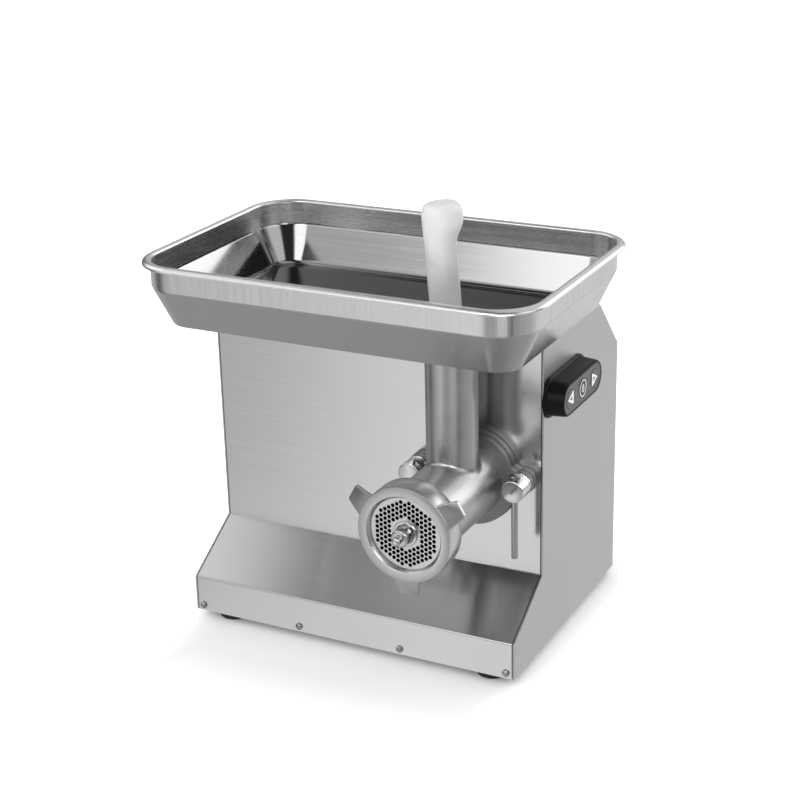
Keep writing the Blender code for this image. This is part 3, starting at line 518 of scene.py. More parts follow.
def build_cabinet():
    inner = HALF_WIDTH - SIDE_SHEET - SEAM
    apron_and_slope = [(0, BOTTOM_Z), (0, APRON_Z), (PANEL_Y, PANEL_Z), (PANEL_Y, TOP_Z)]
    line = apron_and_slope + [(CHAMFER_Y - 0.3, TOP_Z)]
    front = fillet(line, [0, 3.0, 2.0, 2.6, 0], 6)
    wrap = folded_sheet("wrap_sheet", front, -inner, inner)
    cut(wrap, cylinder("hole", "Y", AXIS, 44.0, 70.0, 82.0))
    for x in SCREW_X:
        cut(wrap, cylinder("hole", "Y", (x, SCREW_Z), 2.3, -5.0, 5.0, 24))
    bevel(wrap, 0.25, 2, 50.0, 30.0)
    even(wrap)
    add_piece(wrap, "machine", ["wrap_panel"], [front_sheet])
    rear_line = [(CHAMFER_Y + 1.2, TOP_Z - 1.3), (REAR_Y, CHAMFER_Z), (REAR_Y, BOTTOM_Z)]
    rear = folded_sheet("rear_sheet", fillet(rear_line, [0, 3.0, 0], 6), -inner, inner)
    motor_low, motor_high = local_box("motor_shell")
    motor_x = (motor_low.x + motor_high.x) / 2
    for number in range(12):
        x = motor_x + (VENT_FROM_MOTOR if number % 2 else -VENT_FROM_MOTOR)
        z = VENT_Z + number // 2 * VENT_PITCH
        cut(rear, prism("slot", stadium((x, z), 22.0, 3.0), "Y", 288.0, 299.0))
    gland_low, gland_high = local_box("cable_gland")
    gland = ((gland_low.x + gland_high.x) / 2, (gland_low.z + gland_high.z) / 2)
    cut(rear, cylinder("hole", "Y", gland, 9.4, 288.0, 299.0, 48))
    bevel(rear, 0.25, 2, 50.0, 30.0)
    even(rear)
    add_piece(rear, "machine", ["rear_panel"], [front_sheet])
    side = apron_and_slope + [(CHAMFER_Y, TOP_Z), (REAR_Y, CHAMFER_Z), (REAR_Y, BOTTOM_Z)]
    outline = fillet(side, [0, 2.5, 1.0, 2.2, 2.5, 2.5, 0], 5)
    for name, low in (("left", -HALF_WIDTH), ("right", HALF_WIDTH - SIDE_SHEET)):
        panel = prism(name + "_side_sheet", outline, "X", low, low + SIDE_SHEET)
        if name == "right":
            cut(panel, prism("window", stadium(SWITCH, 45.0, 13.0), "X", 188.0, 200.0))
        bevel(panel, 0.45, 3, 50.0, 30.0)
        even(panel)
        add_piece(panel, "machine", [name + "_side_panel"], [side_sheet])


def build_feet_and_screws():
    for name in ("front_left", "front_right", "rear_left", "rear_right"):
        low, high = local_box(name + "_foot")
        centre = ((low.x + high.x) / 2, (low.y + high.y) / 2)
        profile = [
            (4.0, 2.0), (12.0, 2.0), (12.5, 0.3), (15.5, 0.0), (16.6, 0.6), (17.0, 2.0), (16.7, 6.5),
            (15.2, 9.7),
        ]
        foot = turned(name + "_rubber_foot", "Z", centre, profile, 64)
        add_piece(foot, "machine", [name + "_foot"], foot_black)
    for number in range(1, 5):
        low, high = local_box(f"apron_screw_{number}")
        spot = ((low.x + high.x) / 2, (low.z + high.z) / 2)
        profile = [
            (0.6, -3.0), (2.0, -2.85), (3.1, -2.3), (3.8, -1.4), (4.0, -0.6), (3.9, -0.3), (2.0, -0.3),
            (2.0, 8.0),
        ]
        screw = turned(f"pan_screw_{number}", "Y", spot, profile, 40)
        slot = box("slot", (-5.0, -4.0, -0.55), (5.0, -1.7, 0.55))
        turn = Matrix.Rotation(math.radians(35.0 * number), 4, "Y")
        place = Matrix.Translation(BASE + Vector((spot[0], 0.0, spot[1])) * MM)
        slot.data.transform(place @ turn @ Matrix.Translation(-BASE))
        cut(screw, slot)
        bevel(screw, 0.12, 1, 50.0)
        add_piece(screw, "machine", [f"apron_screw_{number}"], screw_steel)


# ---------------------------------------------------------------- grinding head


STUD_HOLE_R = 5.4
KEY_WAY = (AXIS_X, AXIS_Z + 41.0)
KEY_WAY_R = 2.8
HEAD_FLANGE_Y = (59.3, 67.0)
MACHINE_FLANGE_Y = (67.3, 75.5)


def arc(centre, radius, start, end, steps):
    return [polar(centre, radius, start + (end - start) * i / steps) for i in range(steps + 1)]


def eared_outline(disc, ear, waist=8.0, steps=12):
    """A disc round the barrel's axis with a round ear on each side, and a small hollow beside each ear."""
    middle = Vector(AXIS)
    wide, narrow = disc + waist, ear + waist
    points = []
    for side in (1, -1):
        spot = Vector((AXIS_X + side * EAR_X, CLAMP_Z))
        line = spot - middle
        aim = math.degrees(math.atan2(line.y, line.x))
        across = line.length
        alpha = math.degrees(math.acos((across**2 + wide**2 - narrow**2) / (2 * across * wide)))
        beta = math.degrees(math.acos((across**2 + narrow**2 - wide**2) / (2 * across * narrow)))
        below, above = polar(middle, wide, aim - alpha), polar(middle, wide, aim + alpha)
        points += arc(below, waist, aim - alpha + 180, aim + beta, steps)[:-1]
        points += arc(spot, ear, aim - 180 + beta, aim + 180 - beta, 3 * steps)[:-1]
        points += arc(above, waist, aim - beta + 360, aim + alpha + 180, steps)[:-1]
        next_aim = 180 - aim if side > 0 else 540 - aim
        points += arc(middle, disc, aim + alpha, next_aim - alpha, 6 * steps)[:-1]
    return points


def saddle_fillet(name, reach, rise, steps=96, curve=8):
    """The cast fillet where the tube meets the barrel, as a closed ring that overlaps both."""
    points = []
    for i in range(steps):
        angle = 2 * math.pi * i / steps
        aim = Vector((math.cos(angle), math.sin(angle)))

        def barrel(radius, inset=0.0):
            across = min(abs(aim.x * radius), BARREL_R - 1.0)
            return AXIS_Z + math.sqrt((BARREL_R - inset) ** 2 - min(across, BARREL_R - inset - 0.5) ** 2)

        section = []
        low = (TUBE_R + reach, barrel(TUBE_R + reach, 0.15))
        bend = (TUBE_R, barrel(TUBE_R))
        top = (TUBE_R - 0.15, barrel(TUBE_R) + rise)
        for k in range(curve + 1):
            t = k / curve
            a, b, c = (1 - t) ** 2, 2 * t * (1 - t), t * t
            section.append((a * low[0] + b * bend[0] + c * top[0], a * low[1] + b * bend[1] + c * top[1]))
        section.append((TUBE_R - 2.5, top[1]))
        section.append((TUBE_R - 2.5, min(low[1], bend[1]) - 5.0))
        section.append((low[0] - 0.5, min(low[1], bend[1]) - 5.0))
        points += [(AXIS_X + aim.x * r, TUBE_Y + aim.y * r, z) for r, z in section]
    return add_mesh(name, points, wrapped_faces(steps, curve + 4), 40.0)


def cut_stud_holes(obj, low, high):
    for side in (-1, 1):
        cut(obj, cylinder("hole", "Y", (AXIS_X + side * EAR_X, CLAMP_Z), STUD_HOLE_R, low, high, 40))


def build_head():
    profile = [
        (45.0, -88.0), (45.0, -70.0), (39.0, -66.3), (BARREL_R, 58.6), (40.2, 59.0), (40.2, 66.0),
        (34.0, 66.0), (34.0, 70.6), (33.6, 71.0),
    ]
    head = turned("head_casting", "Y", AXIS, profile, 128)
    plate = prism("flange", eared_outline(52.0, 12.3), "Y", *HEAD_FLANGE_Y)
    join(head, bevel(plate, 0.7, 3, 50.0))
    tube_profile = [(TUBE_R, AXIS_Z), (TUBE_R, TUBE_TOP - 0.8), (TUBE_R - 0.8, TUBE_TOP)]
    join(head, turned("tube", "Z", (AXIS_X, TUBE_Y), tube_profile, 96))
    join(head, saddle_fillet("fillet", 5.5, 6.0))
    cut_stud_holes(head, 52.0, 72.0)
    bore = [
        (41.3, -95.0), (41.3, -80.7), (38.5, -80.7), (38.5, -70.5), (33.0, -70.5), (33.0, 50.0),
        (21.3, 50.0), (21.3, 76.0),
    ]
    cut(head, turned("bore", "Y", AXIS, bore, 96))
    cut(head, cylinder("throat", "Z", (AXIS_X, TUBE_Y), 25.0, AXIS_Z, 360.0, 96))
    cut(head, cylinder("key", "Y", KEY_WAY, KEY_WAY_R, -95.0, -74.0, 24))
    smooth(head, 28.0)
    for polygon in head.data.polygons:
        polygon.material_index = 1 if polygon.center.y > BASE.y + 58.8 * MM else 0
    add_piece(head, "head", ["grinding_head"], [head_cast, flange_cast])


def build_mounting_flange():
    flange = prism("machine_flange", eared_outline(53.0, 12.8), "Y", *MACHINE_FLANGE_Y)
    bevel(flange, 0.6, 3, 50.0)
    join(flange, cylinder("hub", "Y", AXIS, 42.0, 74.0, 81.7, 96))
    bore = [(34.3, 60.0), (34.3, 72.4), (30.0, 72.4), (30.0, 87.0)]
    cut(flange, turned("bore", "Y", AXIS, bore, 96))
    cut_stud_holes(flange, 60.0, 80.0)
    smooth(flange, 30.0)
    add_piece(flange, "machine", ["mounting_flange"], flange_cast)


LUG_ANGLES = (31.0, 151.0, 271.0)
LUG_ROOT = 46.0
LUG_TIP = 69.0
LUG_FACE_Y = -93.7
LUG_LEAN = 8.0
LUG_THICK = 4.0


def lug(angle):
    """A thin tab with rounded outer corners that leans back from the ring's face."""
    outline = [(LUG_ROOT, -18.5), (LUG_TIP, -7.6), (LUG_TIP, 7.6), (LUG_ROOT, 18.5)]
    flat = [Vector((r * math.cos(math.radians(a)), r * math.sin(math.radians(a)))) for r, a in outline]
    line = fillet([tuple(p) for p in flat], [0, 3.0, 3.0, 0], 6, closed=True)
    turn = math.radians(angle)
    rings = []
    for depth in (0.0, LUG_THICK):
        ring = []
        for u, v in line:
            lean = LUG_FACE_Y + LUG_LEAN * max(0.0, u - LUG_ROOT) / (LUG_TIP - LUG_ROOT) + depth
            ring.append((AXIS_X + u * math.cos(turn) - v * math.sin(turn), lean,
                         AXIS_Z + u * math.sin(turn) + v * math.cos(turn)))
        rings.append(ring)
    return loft("lug", rings)


def build_ring():
    profile = [
        (40.9, -94.0), (49.3, -94.0), (50.0, -93.7), (50.3, -93.0), (50.3, -67.0), (49.9, -66.3),
        (49.2, -66.0), (45.3, -66.0), (45.3, -89.3), (38.0, -89.3), (38.2, -89.8), (40.3, -93.6),
    ]
    ring = tube("ring_nut_body", "Y", AXIS, profile, 160, 30.0)
    for angle in LUG_ANGLES:
        join(ring, bevel(lug(angle), 0.5, 2, 40.0))
    smooth(ring, 30.0)
    add_piece(ring, "ring", ["ring_nut"], ring_steel)


def hole_centres(pitch=5.1, start=17.0, end=33.6):
    column = pitch * math.sqrt(3) / 2
    centres = []
    for i in range(-8, 9):
        for j in range(-8, 8):
            u = i * column
            v = (j + 0.5 * (i % 2)) * pitch
            if start < math.hypot(u, v) < end:
                centres.append((AXIS_X + u, AXIS_Z + v))
    return centres


def hole_cutters(radius, low, high, sides=14):
    points = []
    faces = []
    for centre in hole_centres():
        start = len(points)
        for along in (low, high):
            points += [(u, along, v) for u, v in circle(centre, radius, sides)]
        faces += [tuple(range(start, start + sides)), tuple(range(start + sides, start + 2 * sides))]
        for i in range(sides):
            j = (i + 1) % sides
            faces.append((start + i, start + j, start + sides + j, start + sides + i))
    return add_mesh("holes", points, faces)


def build_plate():
    profile = [
        (10.4, -90.8), (12.4, -90.8), (13.0, -90.3), (13.3, -89.0), (40.6, -89.0), (41.0, -88.6),
        (41.0, -81.3), (40.7, -81.0), (9.3, -81.0), (9.3, -89.9),
    ]
    plate = tube("hole_plate", "Y", AXIS, profile, 128, 30.0)
    cut(plate, hole_cutters(2.12, -95.0, -76.0))
    cut(plate, cylinder("notch", "Y", KEY_WAY, KEY_WAY_R, -95.0, -76.0, 24))
    smooth(plate, 30.0)
    # The hole walls take the second, near-black material, which paints the shade inside the holes.
    for polygon in plate.data.polygons:
        away = math.hypot(polygon.center.x - row(*AXIS)[0], polygon.center.z - row(*AXIS)[1]) / MM
        polygon.material_index = 1 if abs(polygon.normal.y) < 0.3 and 14.0 < away < 37.0 else 0
    add_piece(plate, "plate", ["mincing_plate"], [plate_steel, hole_painted_shade])


def worm_screw(steps=64, pitch=40.0, low=-67.0, high=46.0):
    """The worm's core and flight, as rings whose crest moves round with each step along the axis."""
    rows = int((high - low) / (pitch / steps))
    rings = []
    for k in range(rows + 1):
        y = low + k * pitch / steps
        fade = min(1.0, (k + 1) / 10.0, (rows - k + 1) / 10.0)
        ring = []
        for i in range(steps):
            phase = ((i - k) % steps) / steps
            near = min(phase, 1.0 - phase)
            crest = max(0.0, min(1.0, (0.11 - near) / 0.055))
            crest = crest * crest * (3 - 2 * crest) * fade
            u, v = polar(AXIS, 17.0 + 15.0 * crest, 360.0 * i / steps)
            ring.append((u, y, v))
        rings.append(ring)
    return loft("worm_piece", rings, 60.0)


def square(half):
    return [(AXIS_X - half, AXIS_Z - half), (AXIS_X + half, AXIS_Z - half),
            (AXIS_X + half, AXIS_Z + half), (AXIS_X - half, AXIS_Z + half)]


def build_worm():
    profile = [
        (1.2, -112.0), (2.8, -111.8), (3.9, -111.2), (4.5, -110.2), (4.5, -105.4), (3.4, -104.9),
        (3.4, -103.6), (7.6, -103.5), (8.4, -103.2), (9.0, -102.4), (9.0, -71.1), (16.0, -71.1),
        (16.0, 47.5), (14.0, 47.5), (14.0, 66.5), (10.0, 66.5), (8.0, 80.0),
    ]
    worm = worm_screw()
    join(worm, turned("core", "Y", AXIS, profile, 64))
    join(worm, prism("square", square(9.1), "Y", -80.7, -70.4))
    join(worm, prism("tang", square(9.0), "Y", 66.0, 89.5))
    smooth(worm, 40.0)
    add_piece(worm, "worm", ["worm"], worm_steel)
    outline = []
    for blade in range(4):
        angle = 90.0 * blade
        outline += [polar(AXIS, 17.0, angle - 24), polar(AXIS, 26.0, angle - 9), polar(AXIS, 36.5, angle - 4)]
        outline += [polar(AXIS, 36.5, angle + 12), polar(AXIS, 25.0, angle + 22)]
        outline += [polar(AXIS, 17.0, angle + 40)]
    knife = prism("four_blade_knife", outline, "Y", -80.4, -71.4)
    cut(knife, prism("square", square(9.4), "Y", -90.0, -60.0))
    bevel(knife, 0.5, 2, 40.0)
    add_piece(knife, "worm", ["knife"], worm_steel)


BAR_Y = 43.4
BAR_R = 3.5
BAR_FOOT_Z = 128.0
CAP_OVER_CLAMP = 12.3


def build_clamps():
    for name, side, lean in (("left", -1, 38.0), ("right", 1, 0.0)):
        x = AXIS_X + side * EAR_X
        profile = [
            (10.8, 36.0), (11.5, 36.2), (11.9, 36.6), (12.0, 37.2), (12.0, 54.6), (11.3, 55.1), (11.3, 56.0),
            (12.0, 56.4), (12.0, 58.6), (11.6, 59.0), (5.0, 59.0), (5.0, 74.6), (4.4, 75.2),
        ]
        knob = turned(name + "_clamp_knob", "Y", (x, CLAMP_Z), profile, 96, 30.0)
        cut(knob, cylinder("hole", "Z", (x, BAR_Y), 3.8, CLAMP_Z - 20.0, CLAMP_Z + 20.0, 48))
        rest = CLAMP_Z + CAP_OVER_CLAMP
        profile = [
            (2.6, BAR_FOOT_Z), (3.2, BAR_FOOT_Z + 0.2), (BAR_R, BAR_FOOT_Z + 0.8), (BAR_R, rest),
            (5.9, rest), (6.3, rest + 0.4), (6.3, rest + 3.6), (5.6, rest + 4.6), (4.2, rest + 5.0),
        ]
        bar = turned(name + "_tommy_bar", "Z", (x, BAR_Y), profile, 48, 30.0)
        for polygon in bar.data.polygons:
            polygon.material_index = 1 if polygon.center.z > (rest - 0.1) * MM else 0
        pivot = Matrix.Translation(BASE + Vector((x, 0.0, CLAMP_Z)) * MM)
        turn = pivot @ Matrix.Rotation(math.radians(lean), 4, "Y") @ pivot.inverted()
        knob.data.transform(turn)
        bar.data.transform(turn)
        smooth(knob, 30.0)
        smooth(bar, 30.0)
        add_piece(knob, name + "_clamp", [name + "_knob"], knob_steel[side])
        add_piece(bar, name + "_tommy", [name + "_bar"], [bar_steel, dark_cap])


# ---------------------------------------------------------------- tray and pestle

TRAY_FLOOR = (-192.0, -27.0, 204.0, 222.0)
FLARE = 20.5
FLOOR_Z = 357.0
FLARE_Z = 400.5
BAND_Z = 425.2
FLOOR_CORNER = 25.0
WALL_CORNER = 45.0
COLLAR_R = 24.6
COLLAR_FOOT_Z = 342.0
COLLAR_BORE_R = 23.4


def tray_ring(grow, z, steps=14):
    if grow <= 0:
        radius = FLOOR_CORNER + grow
    elif grow < FLARE:
        radius = FLOOR_CORNER + (WALL_CORNER - FLOOR_CORNER) * grow / FLARE
    else:
        radius = WALL_CORNER + grow - FLARE
    x0, y0, x1, y1 = TRAY_FLOOR
    corners = [(x0 - grow, y0 - grow), (x1 + grow, y0 - grow), (x1 + grow, y1 + grow), (x0 - grow, y1 + grow)]
    return [(x, y, z) for x, y in fillet(corners, [radius] * 4, steps, closed=True)]


def build_tray():
    outer = [(-20, FLOOR_Z), (0, FLOOR_Z), (FLARE, FLARE_Z), (FLARE, BAND_Z), (FLARE + 4.0, BAND_Z)]
    outer = fillet(outer, [0, 4.0, 8.0, 2.0, 0], 6)
    roll = [
        (6.5, 423.9), (7.5, 423.6), (8.3, 424.1), (8.4, 425.2), (7.8, 426.6), (6.5, 428.0), (4.7, 428.9),
        (2.7, 429.2), (0.9, 429.0), (-0.5, 428.4), (-1.3, 427.4),
    ]
    roll = [(FLARE + grow, z) for grow, z in roll]
    inner = [(FLARE - SHEET, BAND_Z + 1.0), (FLARE - SHEET, FLARE_Z + 0.3)]
    inner += [(-1.0, FLOOR_Z + SHEET), (-20, FLOOR_Z + SHEET)]
    inner = fillet(inner, [0, 7.0, 9.0, 0], 7)
    line = outer + roll + inner
    first_inner = len(outer) + len(roll)
    tray = loft("tray_pan", [tray_ring(grow, z) for grow, z in line], 30.0)
    steps = len(tray_ring(0.0, 0.0))
    centre = (AXIS_X, TUBE_Y)
    for number, polygon in enumerate(tray.data.polygons):
        ring = (number - 2) // steps
        if number == 1 or ring >= len(line) - 10:
            polygon.material_index = 3
        elif ring >= first_inner:
            polygon.material_index = 1 if ring > first_inner else 5
        elif number > 1 and ring >= len(outer) - 1:
            polygon.material_index = 4
        elif number > 1 and ring > 11:
            polygon.material_index = 2
        elif number == 0 or ring == 0:
            polygon.material_index = 4
    for material in (tray_outside, tray_inside, tray_band, tray_floor, tray_rim, tray_lip):
        tray.data.materials.append(material)
    collar = cylinder("collar", "Z", centre, COLLAR_R, COLLAR_FOOT_Z, FLOOR_Z + 0.9, 96)
    collar.data.materials.append(tray_outside)
    hole = cylinder("hole", "Z", centre, COLLAR_BORE_R, COLLAR_FOOT_Z - 12.0, FLOOR_Z + 10.0, 96)
    hole.data.materials.append(tray_outside)
    join(tray, collar)
    cut(tray, hole)
    smooth(tray, 30.0)
    even(tray)
    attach(tray, "tray")
    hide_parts("feed_tray")


PESTLE_WAY = (-0.0621, -0.0321, 0.9976)
KNOB_WAY = (0.889, 0.457, 0.0)
PESTLE_ORIGIN_Z = 335.0


def build_pestle():
    """A leaning stick; each ring has a distance along it, a radius, and the knob's shift to one side."""
    axis = Vector(PESTLE_WAY).normalized()
    bulge = Vector(KNOB_WAY)
    across = axis.cross(Vector((0, 1, 0))).normalized()
    other = axis.cross(across)
    rings = [
        (-95.5, 13.5, 0), (-95.2, 15.0, 0), (-94.0, 15.8, 0), (-92.0, 16.0, 0), (60.0, 16.0, 0),
        (124.0, 15.9, 0), (131.0, 16.0, 0.1), (136.0, 16.4, 0.4), (140.0, 17.1, 1.1),
        (144.0, 18.1, 2.1), (148.0, 19.2, 3.0), (152.0, 20.0, 3.7), (156.0, 20.4, 4.1),
        (161.0, 20.5, 4.2), (165.0, 20.1, 4.2), (168.5, 19.2, 4.2), (171.0, 17.8, 4.2),
        (172.8, 15.6, 4.2), (173.6, 12.5, 4.2), (173.8, 8.0, 4.2), (173.7, 4.6, 4.2),
        (173.2, 3.2, 4.2), (172.2, 2.0, 4.2), (171.8, 0.8, 4.2),
    ]
    start = Vector((AXIS_X, TUBE_Y, PESTLE_ORIGIN_Z))
    loops = []
    for along, radius, shift in rings:
        middle = start + axis * along + bulge * shift
        loops.append([tuple(middle + across * u + other * v) for u, v in circle((0, 0), radius, 72)])
    pestle = loft("pestle_stick", loops, 60.0)
    add_piece(pestle, "pestle", ["pestle"], pestle_white)


# ---------------------------------------------------------------- switch

FACE_X = 217.5


def outline_ring(name, outer, inner, low, high, material, body):
    """A flat printed frame: the band between two outlines with equal point counts."""
    points = []
    for line, x in ((outer, low), (outer, high), (inner, high), (inner, low)):
        points += [(x, y, z) for y, z in line]
    ring = add_mesh(name, points, wrapped_faces(4, len(outer)), 30.0)
    return add_piece(ring, body, [], material)


def triangle(centre, half, height, direction, corner):
    """A rounded triangle that points up or down the switch's length."""
    tip = centre[0] + direction * half
    tail = centre[0] - direction * half
    points = [(tip, centre[1]), (tail, centre[1] + height), (tail, centre[1] - height)]
    return fillet(points, [corner] * 3, 5, closed=True)


def slot_loft(name, levels):
    """A slot-shaped solid from its half length and half height at each distance to the right."""
    return loft(name, [[(x, y, z) for y, z in stadium(SWITCH, a, b)] for x, a, b in levels])


def build_switch():
    levels = [
        (195.3, 58.0, 21.0), (195.6, 59.0, 22.0), (196.8, 59.0, 22.0), (198.2, 58.0, 21.0),
        (198.7, 57.0, 20.2),
    ]
    add_piece(slot_loft("switch_flange", levels), "machine", ["switch_base"], boot_black)
    levels = [
        (199.0, 56.6, 19.8), (199.5, 56.3, 19.4), (214.5, 55.0, 18.2), (216.3, 54.6, 17.8),
        (FACE_X, 53.4, 16.7),
    ]
    boot = slot_loft("switch_boot", levels)
    boot.data.materials.append(boot_black)
    tray = prism("face", stadium(SWITCH, 52.0, 15.3), "X", FACE_X - 0.8, FACE_X + 5.0)
    tray.data.materials.append(face_grey)
    boot.data.materials.append(face_grey)
    cut(boot, tray)
    buttons = (("reverse", 94.0), ("stop", 128.6), ("start", 162.0))
    for name, y in buttons:
        hole = cylinder("pocket", "X", (y, SWITCH[1]), 10.4, 204.0, FACE_X + 5.0, 64)
        hole.data.materials.append(face_grey)
        cut(boot, hole)
    bevel(boot, 0.3, 2, 50.0)
    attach(boot, "machine")
    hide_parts("switch_housing")
    for name, y in buttons:
        spot = (y, SWITCH[1])
        top = FACE_X - 0.2
        profile = [(10.1, 207.0), (10.1, top - 0.9), (9.9, top - 0.4), (9.3, top - 0.1), (8.0, top)]
        material = button_black if name == "stop" else face_grey
        cap = turned(name + "_cap", "X", spot, profile, 64)
        add_piece(cap, name, [name + "_button"], material)
        low, high = top - 0.3, top + 0.25
        if name == "stop":
            around, within = circle(spot, 9.4, 48), circle(spot, 8.3, 48)
            outline_ring("stop_ring", around, within, low, high, print_white, name)
            zero_out = [(spot[0] + u * 0.62, spot[1] + v) for u, v in circle((0, 0), 4.3, 40)]
            zero_in = [(spot[0] + u * 0.45, spot[1] + v) for u, v in circle((0, 0), 3.2, 40)]
            outline_ring("stop_zero", zero_out, zero_in, low, high, print_white, name)
        else:
            way = 1 if name == "start" else -1
            outer = triangle(spot, 7.6, 7.6, way, 0.8)
            inner = triangle((spot[0] - way * 0.9, spot[1]), 3.3, 3.1, way, 0.4)
            outline_ring(name + "_arrow", outer, inner, low, high, print_white, name)


# ---------------------------------------------------------------- inner pieces

INSIDE = {
    "base_plate": inside_sheet, "motor_bracket": inside_sheet, "oil_seal": foot_black,
    "gearbox_housing": grey_paint, "gearbox_cover": grey_paint, "front_bearing": bar_steel,
    "rear_bearing": bar_steel, "motor_shell": grey_paint, "stator_core": winding,
    "motor_rear_bell": grey_paint, "fan_cowl": boot_black, "run_capacitor": print_white,
    "contact_block": print_white, "cable_gland": boot_black, "drive_shaft": worm_steel,
    "output_gear": head_cast, "lay_shaft": head_cast, "intermediate_gear": bronze,
    "rotor_shaft": bar_steel, "rotor_core": flange_cast, "cooling_fan": boot_black,
    "worm_bush": bronze, "plate_key_pin": bar_steel,
}


def paint_inside():
    """Gives the nodes that keep their CAD shape a material."""
    for node, material in INSIDE.items():
        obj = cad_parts[node]
        obj.data.materials.clear()
        obj.data.materials.append(material)


# ---------------------------------------------------------------- studio


def stage_plane(name, size, place, aim, material, hidden):
    """A flat card that faces a point, in metres; a hidden card shows in the metal and nowhere else."""
    half = Vector(size) / 2
    mesh = bpy.data.meshes.new(name)
    corners = [(-half.x, -half.y, 0), (half.x, -half.y, 0), (half.x, half.y, 0), (-half.x, half.y, 0)]
    mesh.from_pydata(corners, [], [(0, 1, 2, 3)])
    obj = bpy.data.objects.new(name, mesh)
    bpy.context.scene.collection.objects.link(obj)
    obj.location = place
    obj.rotation_euler = (Vector(aim) - Vector(place)).to_track_quat("Z", "Y").to_euler()
    mesh.materials.append(material)
    obj.visible_camera = obj.visible_diffuse = obj.visible_shadow = not hidden
    return obj


def build_floor():
    """The pale floor; it glows a little away from the grinder, and the metal doesn't mirror it."""
    graph = Graph("floor_pale", grey(0.9), 0.0, 0.9)
    clouds = graph.noise(2.0, 2.0)
    graph.to("Base Color", graph.mix(graph.spread(clouds, 0.0, 1.0), grey(0.89), grey(0.91)))
    graph.shader.inputs["Specular IOR Level"].default_value = 0.0
    graph.shader.inputs["Emission Color"].default_value = (1.0, 1.0, 1.0, 1.0)
    reach = graph.maths("MAXIMUM", graph.outside(0, 0.16, 0.1), graph.outside(1, 0.15, 0.2))
    graph.to("Emission Strength", graph.maths("MULTIPLY", reach, 0.5))
    floor = stage_plane("floor", (80.0, 80.0), (0.0, 0.0, 0.0), (0.0, 0.0, 1.0), graph.material, False)
    floor.visible_glossy = False


def soft_sun(name, aim, angle, strength):
    """A wide sun that lights the floor and the plastics, and never shows in the metal."""
    light = bpy.data.lights.new(name, "SUN")
    light.energy = strength
    light.angle = math.radians(angle)
    obj = bpy.data.objects.new(name, light)
    bpy.context.scene.collection.objects.link(obj)
    obj.rotation_euler = Vector(aim).to_track_quat("Z", "Y").to_euler()
    obj.visible_glossy = False


# What the metal sees of the studio. Above the horizon: a direction, the cosine where the zone
# starts, the cosine where it is full, and its radiance. The last three are overhead and behind.
HIGH_ZONES = (
    ((-0.8, 0.0, 0.6), 0.88, 0.925, 1.15),
    ((-0.45, -0.72, 0.5), 0.77, 0.96, 0.8),
    ((-0.1, -0.82, 0.56), 0.93, 0.968, 2.3),
    ((0.5, 0.8, 0.3), 0.93, 0.96, 2.3),
    ((0.95, -0.05, 0.4), 0.9, 0.95, 1.0),
    ((-0.13, 0.83, 0.54), 0.95, 0.98, 0.7),
    ((0.25, 0.3, 0.92), 0.82, 0.93, 0.55),
    ((0.1, 0.9, 0.42), 0.55, 0.75, 0.4),
    ((0.7, 0.3, 0.65), 0.88, 0.95, 0.45),
)
# Below it: azimuths in degrees from the front, positive to the right, and the radiance there.
LOW_BANDS = (
    (-180, 0.95), (-160, 0.6), (-98, 0.55), (-82, 0.12), (-68, 0.12), (-56, 0.58), (-34, 0.6),
    (-31, 0.7), (-29, 0.9), (-26, 1.1), (-21, 1.0), (-12, 0.55), (-2, 0.38), (12, 0.42), (28, 0.64),
    (44, 0.54), (50, 0.1), (58, 0.1), (66, 0.4), (106, 0.5), (140, 0.8), (158, 0.8), (162, 0.72),
    (170, 0.9), (180, 0.95),
)
FRONT_FLOOR = ((-0.43, -0.74, -0.52), 0.985, 0.996, 0.95)
# Underneath: the height of the direction and the radiance there.
UNDERNEATH = ((-0.98, 0.2), (-0.91, 0.42), (-0.84, 0.5), (-0.78, 0.5), (-0.6, 0.6))
GAP = 0.04  # radiance above the horizon, between the zones


class Studio(Nodes):
    """The world's node tree, with the direction and the kind of ray as its only inputs."""

    def __init__(self):
        world = bpy.data.worlds.new("studio")
        bpy.context.scene.world = world
        world.use_nodes = True
        self.tree = world.node_tree
        self.way = self.tree.nodes.new("ShaderNodeTexCoord").outputs["Generated"]
        split = self.tree.nodes.new("ShaderNodeSeparateXYZ")
        self.link(self.way, split.inputs[0])
        self.x, self.y, self.z = split.outputs

    def zone(self, aim, start, full, radiance):
        dot = self.tree.nodes.new("ShaderNodeVectorMath")
        dot.operation = "DOT_PRODUCT"
        dot.inputs[1].default_value = Vector(aim).normalized()
        self.link(self.way, dot.inputs[0])
        return self.step(dot.outputs["Value"], start, full, radiance)

    def ramp(self, value, stops):
        node = self.tree.nodes.new("ShaderNodeValToRGB")
        node.color_ramp.interpolation = "EASE"
        elements = node.color_ramp.elements
        elements.remove(elements[1])
        for number, (position, level) in enumerate(stops):
            element = elements[0] if number == 0 else elements.new(position)
            element.position = position
            element.color = (level / 2, level / 2, level / 2, 1.0)
        self.link(value, node.inputs["Fac"])
        return self.maths("MULTIPLY", node.outputs["Color"], 2.0)

    def blend(self, factor, first, second):
        node = self.tree.nodes.new("ShaderNodeMix")
        for value, number in ((factor, 0), (first, 2), (second, 3)):
            self.link(value, node.inputs[number])
        return node.outputs[0]


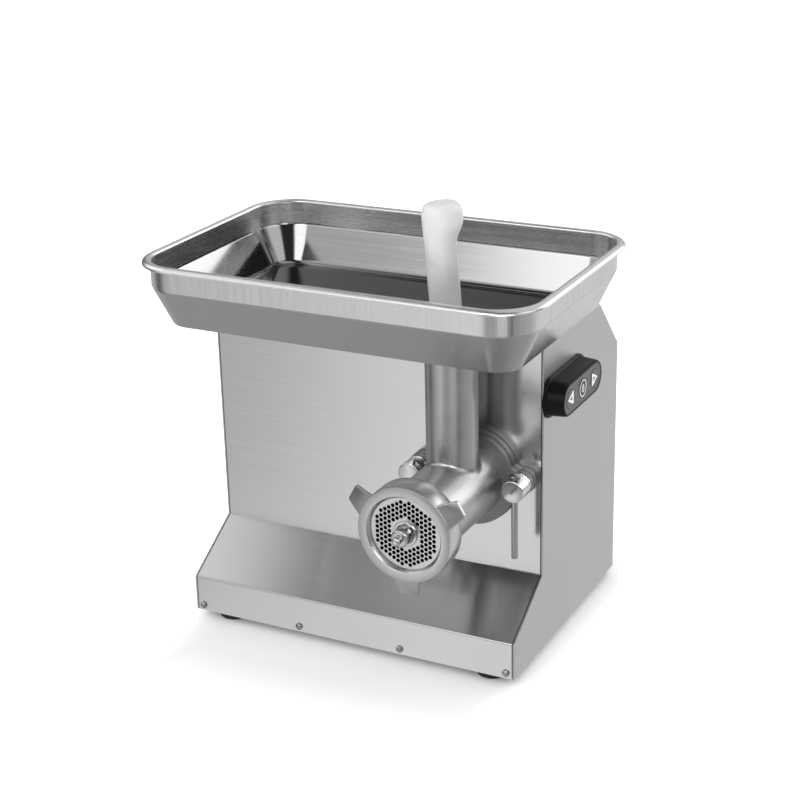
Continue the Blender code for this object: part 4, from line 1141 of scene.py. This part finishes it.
def build_world():
    """Soft cards and dark gaps round the object, above and below the horizon; plain white seen directly."""
    studio = Studio()
    above = GAP
    for aim, start, full, radiance in HIGH_ZONES:
        above = studio.maths("MAXIMUM", studio.zone(aim, start, full, radiance), above)
    turn = studio.maths("ARCTAN2", studio.x, studio.maths("MULTIPLY", studio.y, -1.0))
    place = studio.maths("ADD", studio.maths("DIVIDE", turn, 2 * math.pi), 0.5)
    bands = studio.ramp(place, [(degrees / 360 + 0.5, level) for degrees, level in LOW_BANDS])
    under = studio.ramp(studio.maths("ADD", studio.z, 1.0), [(z + 1.0, level) for z, level in UNDERNEATH])
    below = studio.blend(studio.step(studio.z, -0.5, -0.75), bands, under)
    below = studio.maths("MAXIMUM", studio.zone(*FRONT_FLOOR), below)
    total = studio.blend(studio.step(studio.z, -0.04, -0.18), above, below)
    straight = studio.tree.nodes.new("ShaderNodeLightPath").outputs["Is Camera Ray"]
    total = studio.maths("MAXIMUM", straight, total)
    studio.link(total, studio.tree.nodes["Background"].inputs["Color"])


CARD_SIZE = (0.26, 0.2)
CARD_PLACE = (410.0, -370.0, 465.0)
CARD_AIM = (60.0, 128.0, 230.0)


def build_lights():
    soft_sun("floor_light", (0.2, 0.1, 0.97), 120.0, 1.6)
    soft_sun("front_light", (-0.1, -0.8, 0.4), 90.0, 1.35)
    graph = Graph("bright_card", grey(0.0), 0.0, 1.0)
    graph.shader.inputs["Emission Color"].default_value = (1.0, 1.0, 1.0, 1.0)
    graph.to("Emission Strength", graph.spread(graph.noise(4.0, 1.0), 3.8, 4.3))
    graph.material.cycles.emission_sampling = "NONE"
    place, aim = BASE + Vector(CARD_PLACE) * MM, BASE + Vector(CARD_AIM) * MM
    stage_plane("bright_card", CARD_SIZE, place, aim, graph.material, True)


CAMERA_PLACE = (827.2, -1474.1, 939.5)
CAMERA_TURN, CAMERA_TILT, CAMERA_ROLL = 27.2, 21.0, -1.4
LENS = 79.06
SENSOR = 36.0


def build_camera():
    turn, tilt, roll = (math.radians(angle) for angle in (CAMERA_TURN, CAMERA_TILT, CAMERA_ROLL))
    back = Vector((math.sin(turn) * math.cos(tilt), -math.cos(turn) * math.cos(tilt), math.sin(tilt)))
    right = (-back).cross(Vector((0, 0, 1))).normalized()
    up = right.cross(-back)
    side = right * math.cos(roll) + up * math.sin(roll)
    top = -right * math.sin(roll) + up * math.cos(roll)
    data = bpy.data.cameras.new("camera")
    data.lens = LENS
    data.sensor_width = SENSOR
    camera = bpy.data.objects.new("camera", data)
    bpy.context.scene.collection.objects.link(camera)
    matrix = Matrix((side, top, back)).transposed().to_4x4()
    matrix.translation = BASE + Vector(CAMERA_PLACE) * MM
    camera.matrix_world = matrix
    bpy.context.scene.camera = camera


build_camera()
build_world()
build_lights()
build_floor()
build_cabinet()
build_feet_and_screws()
build_mounting_flange()
build_head()
build_ring()
build_plate()
build_worm()
build_clamps()
build_tray()
build_pestle()
build_switch()
paint_inside()
bpy.context.scene.view_settings.view_transform = "Standard"
bpy.context.scene.view_settings.look = "None"
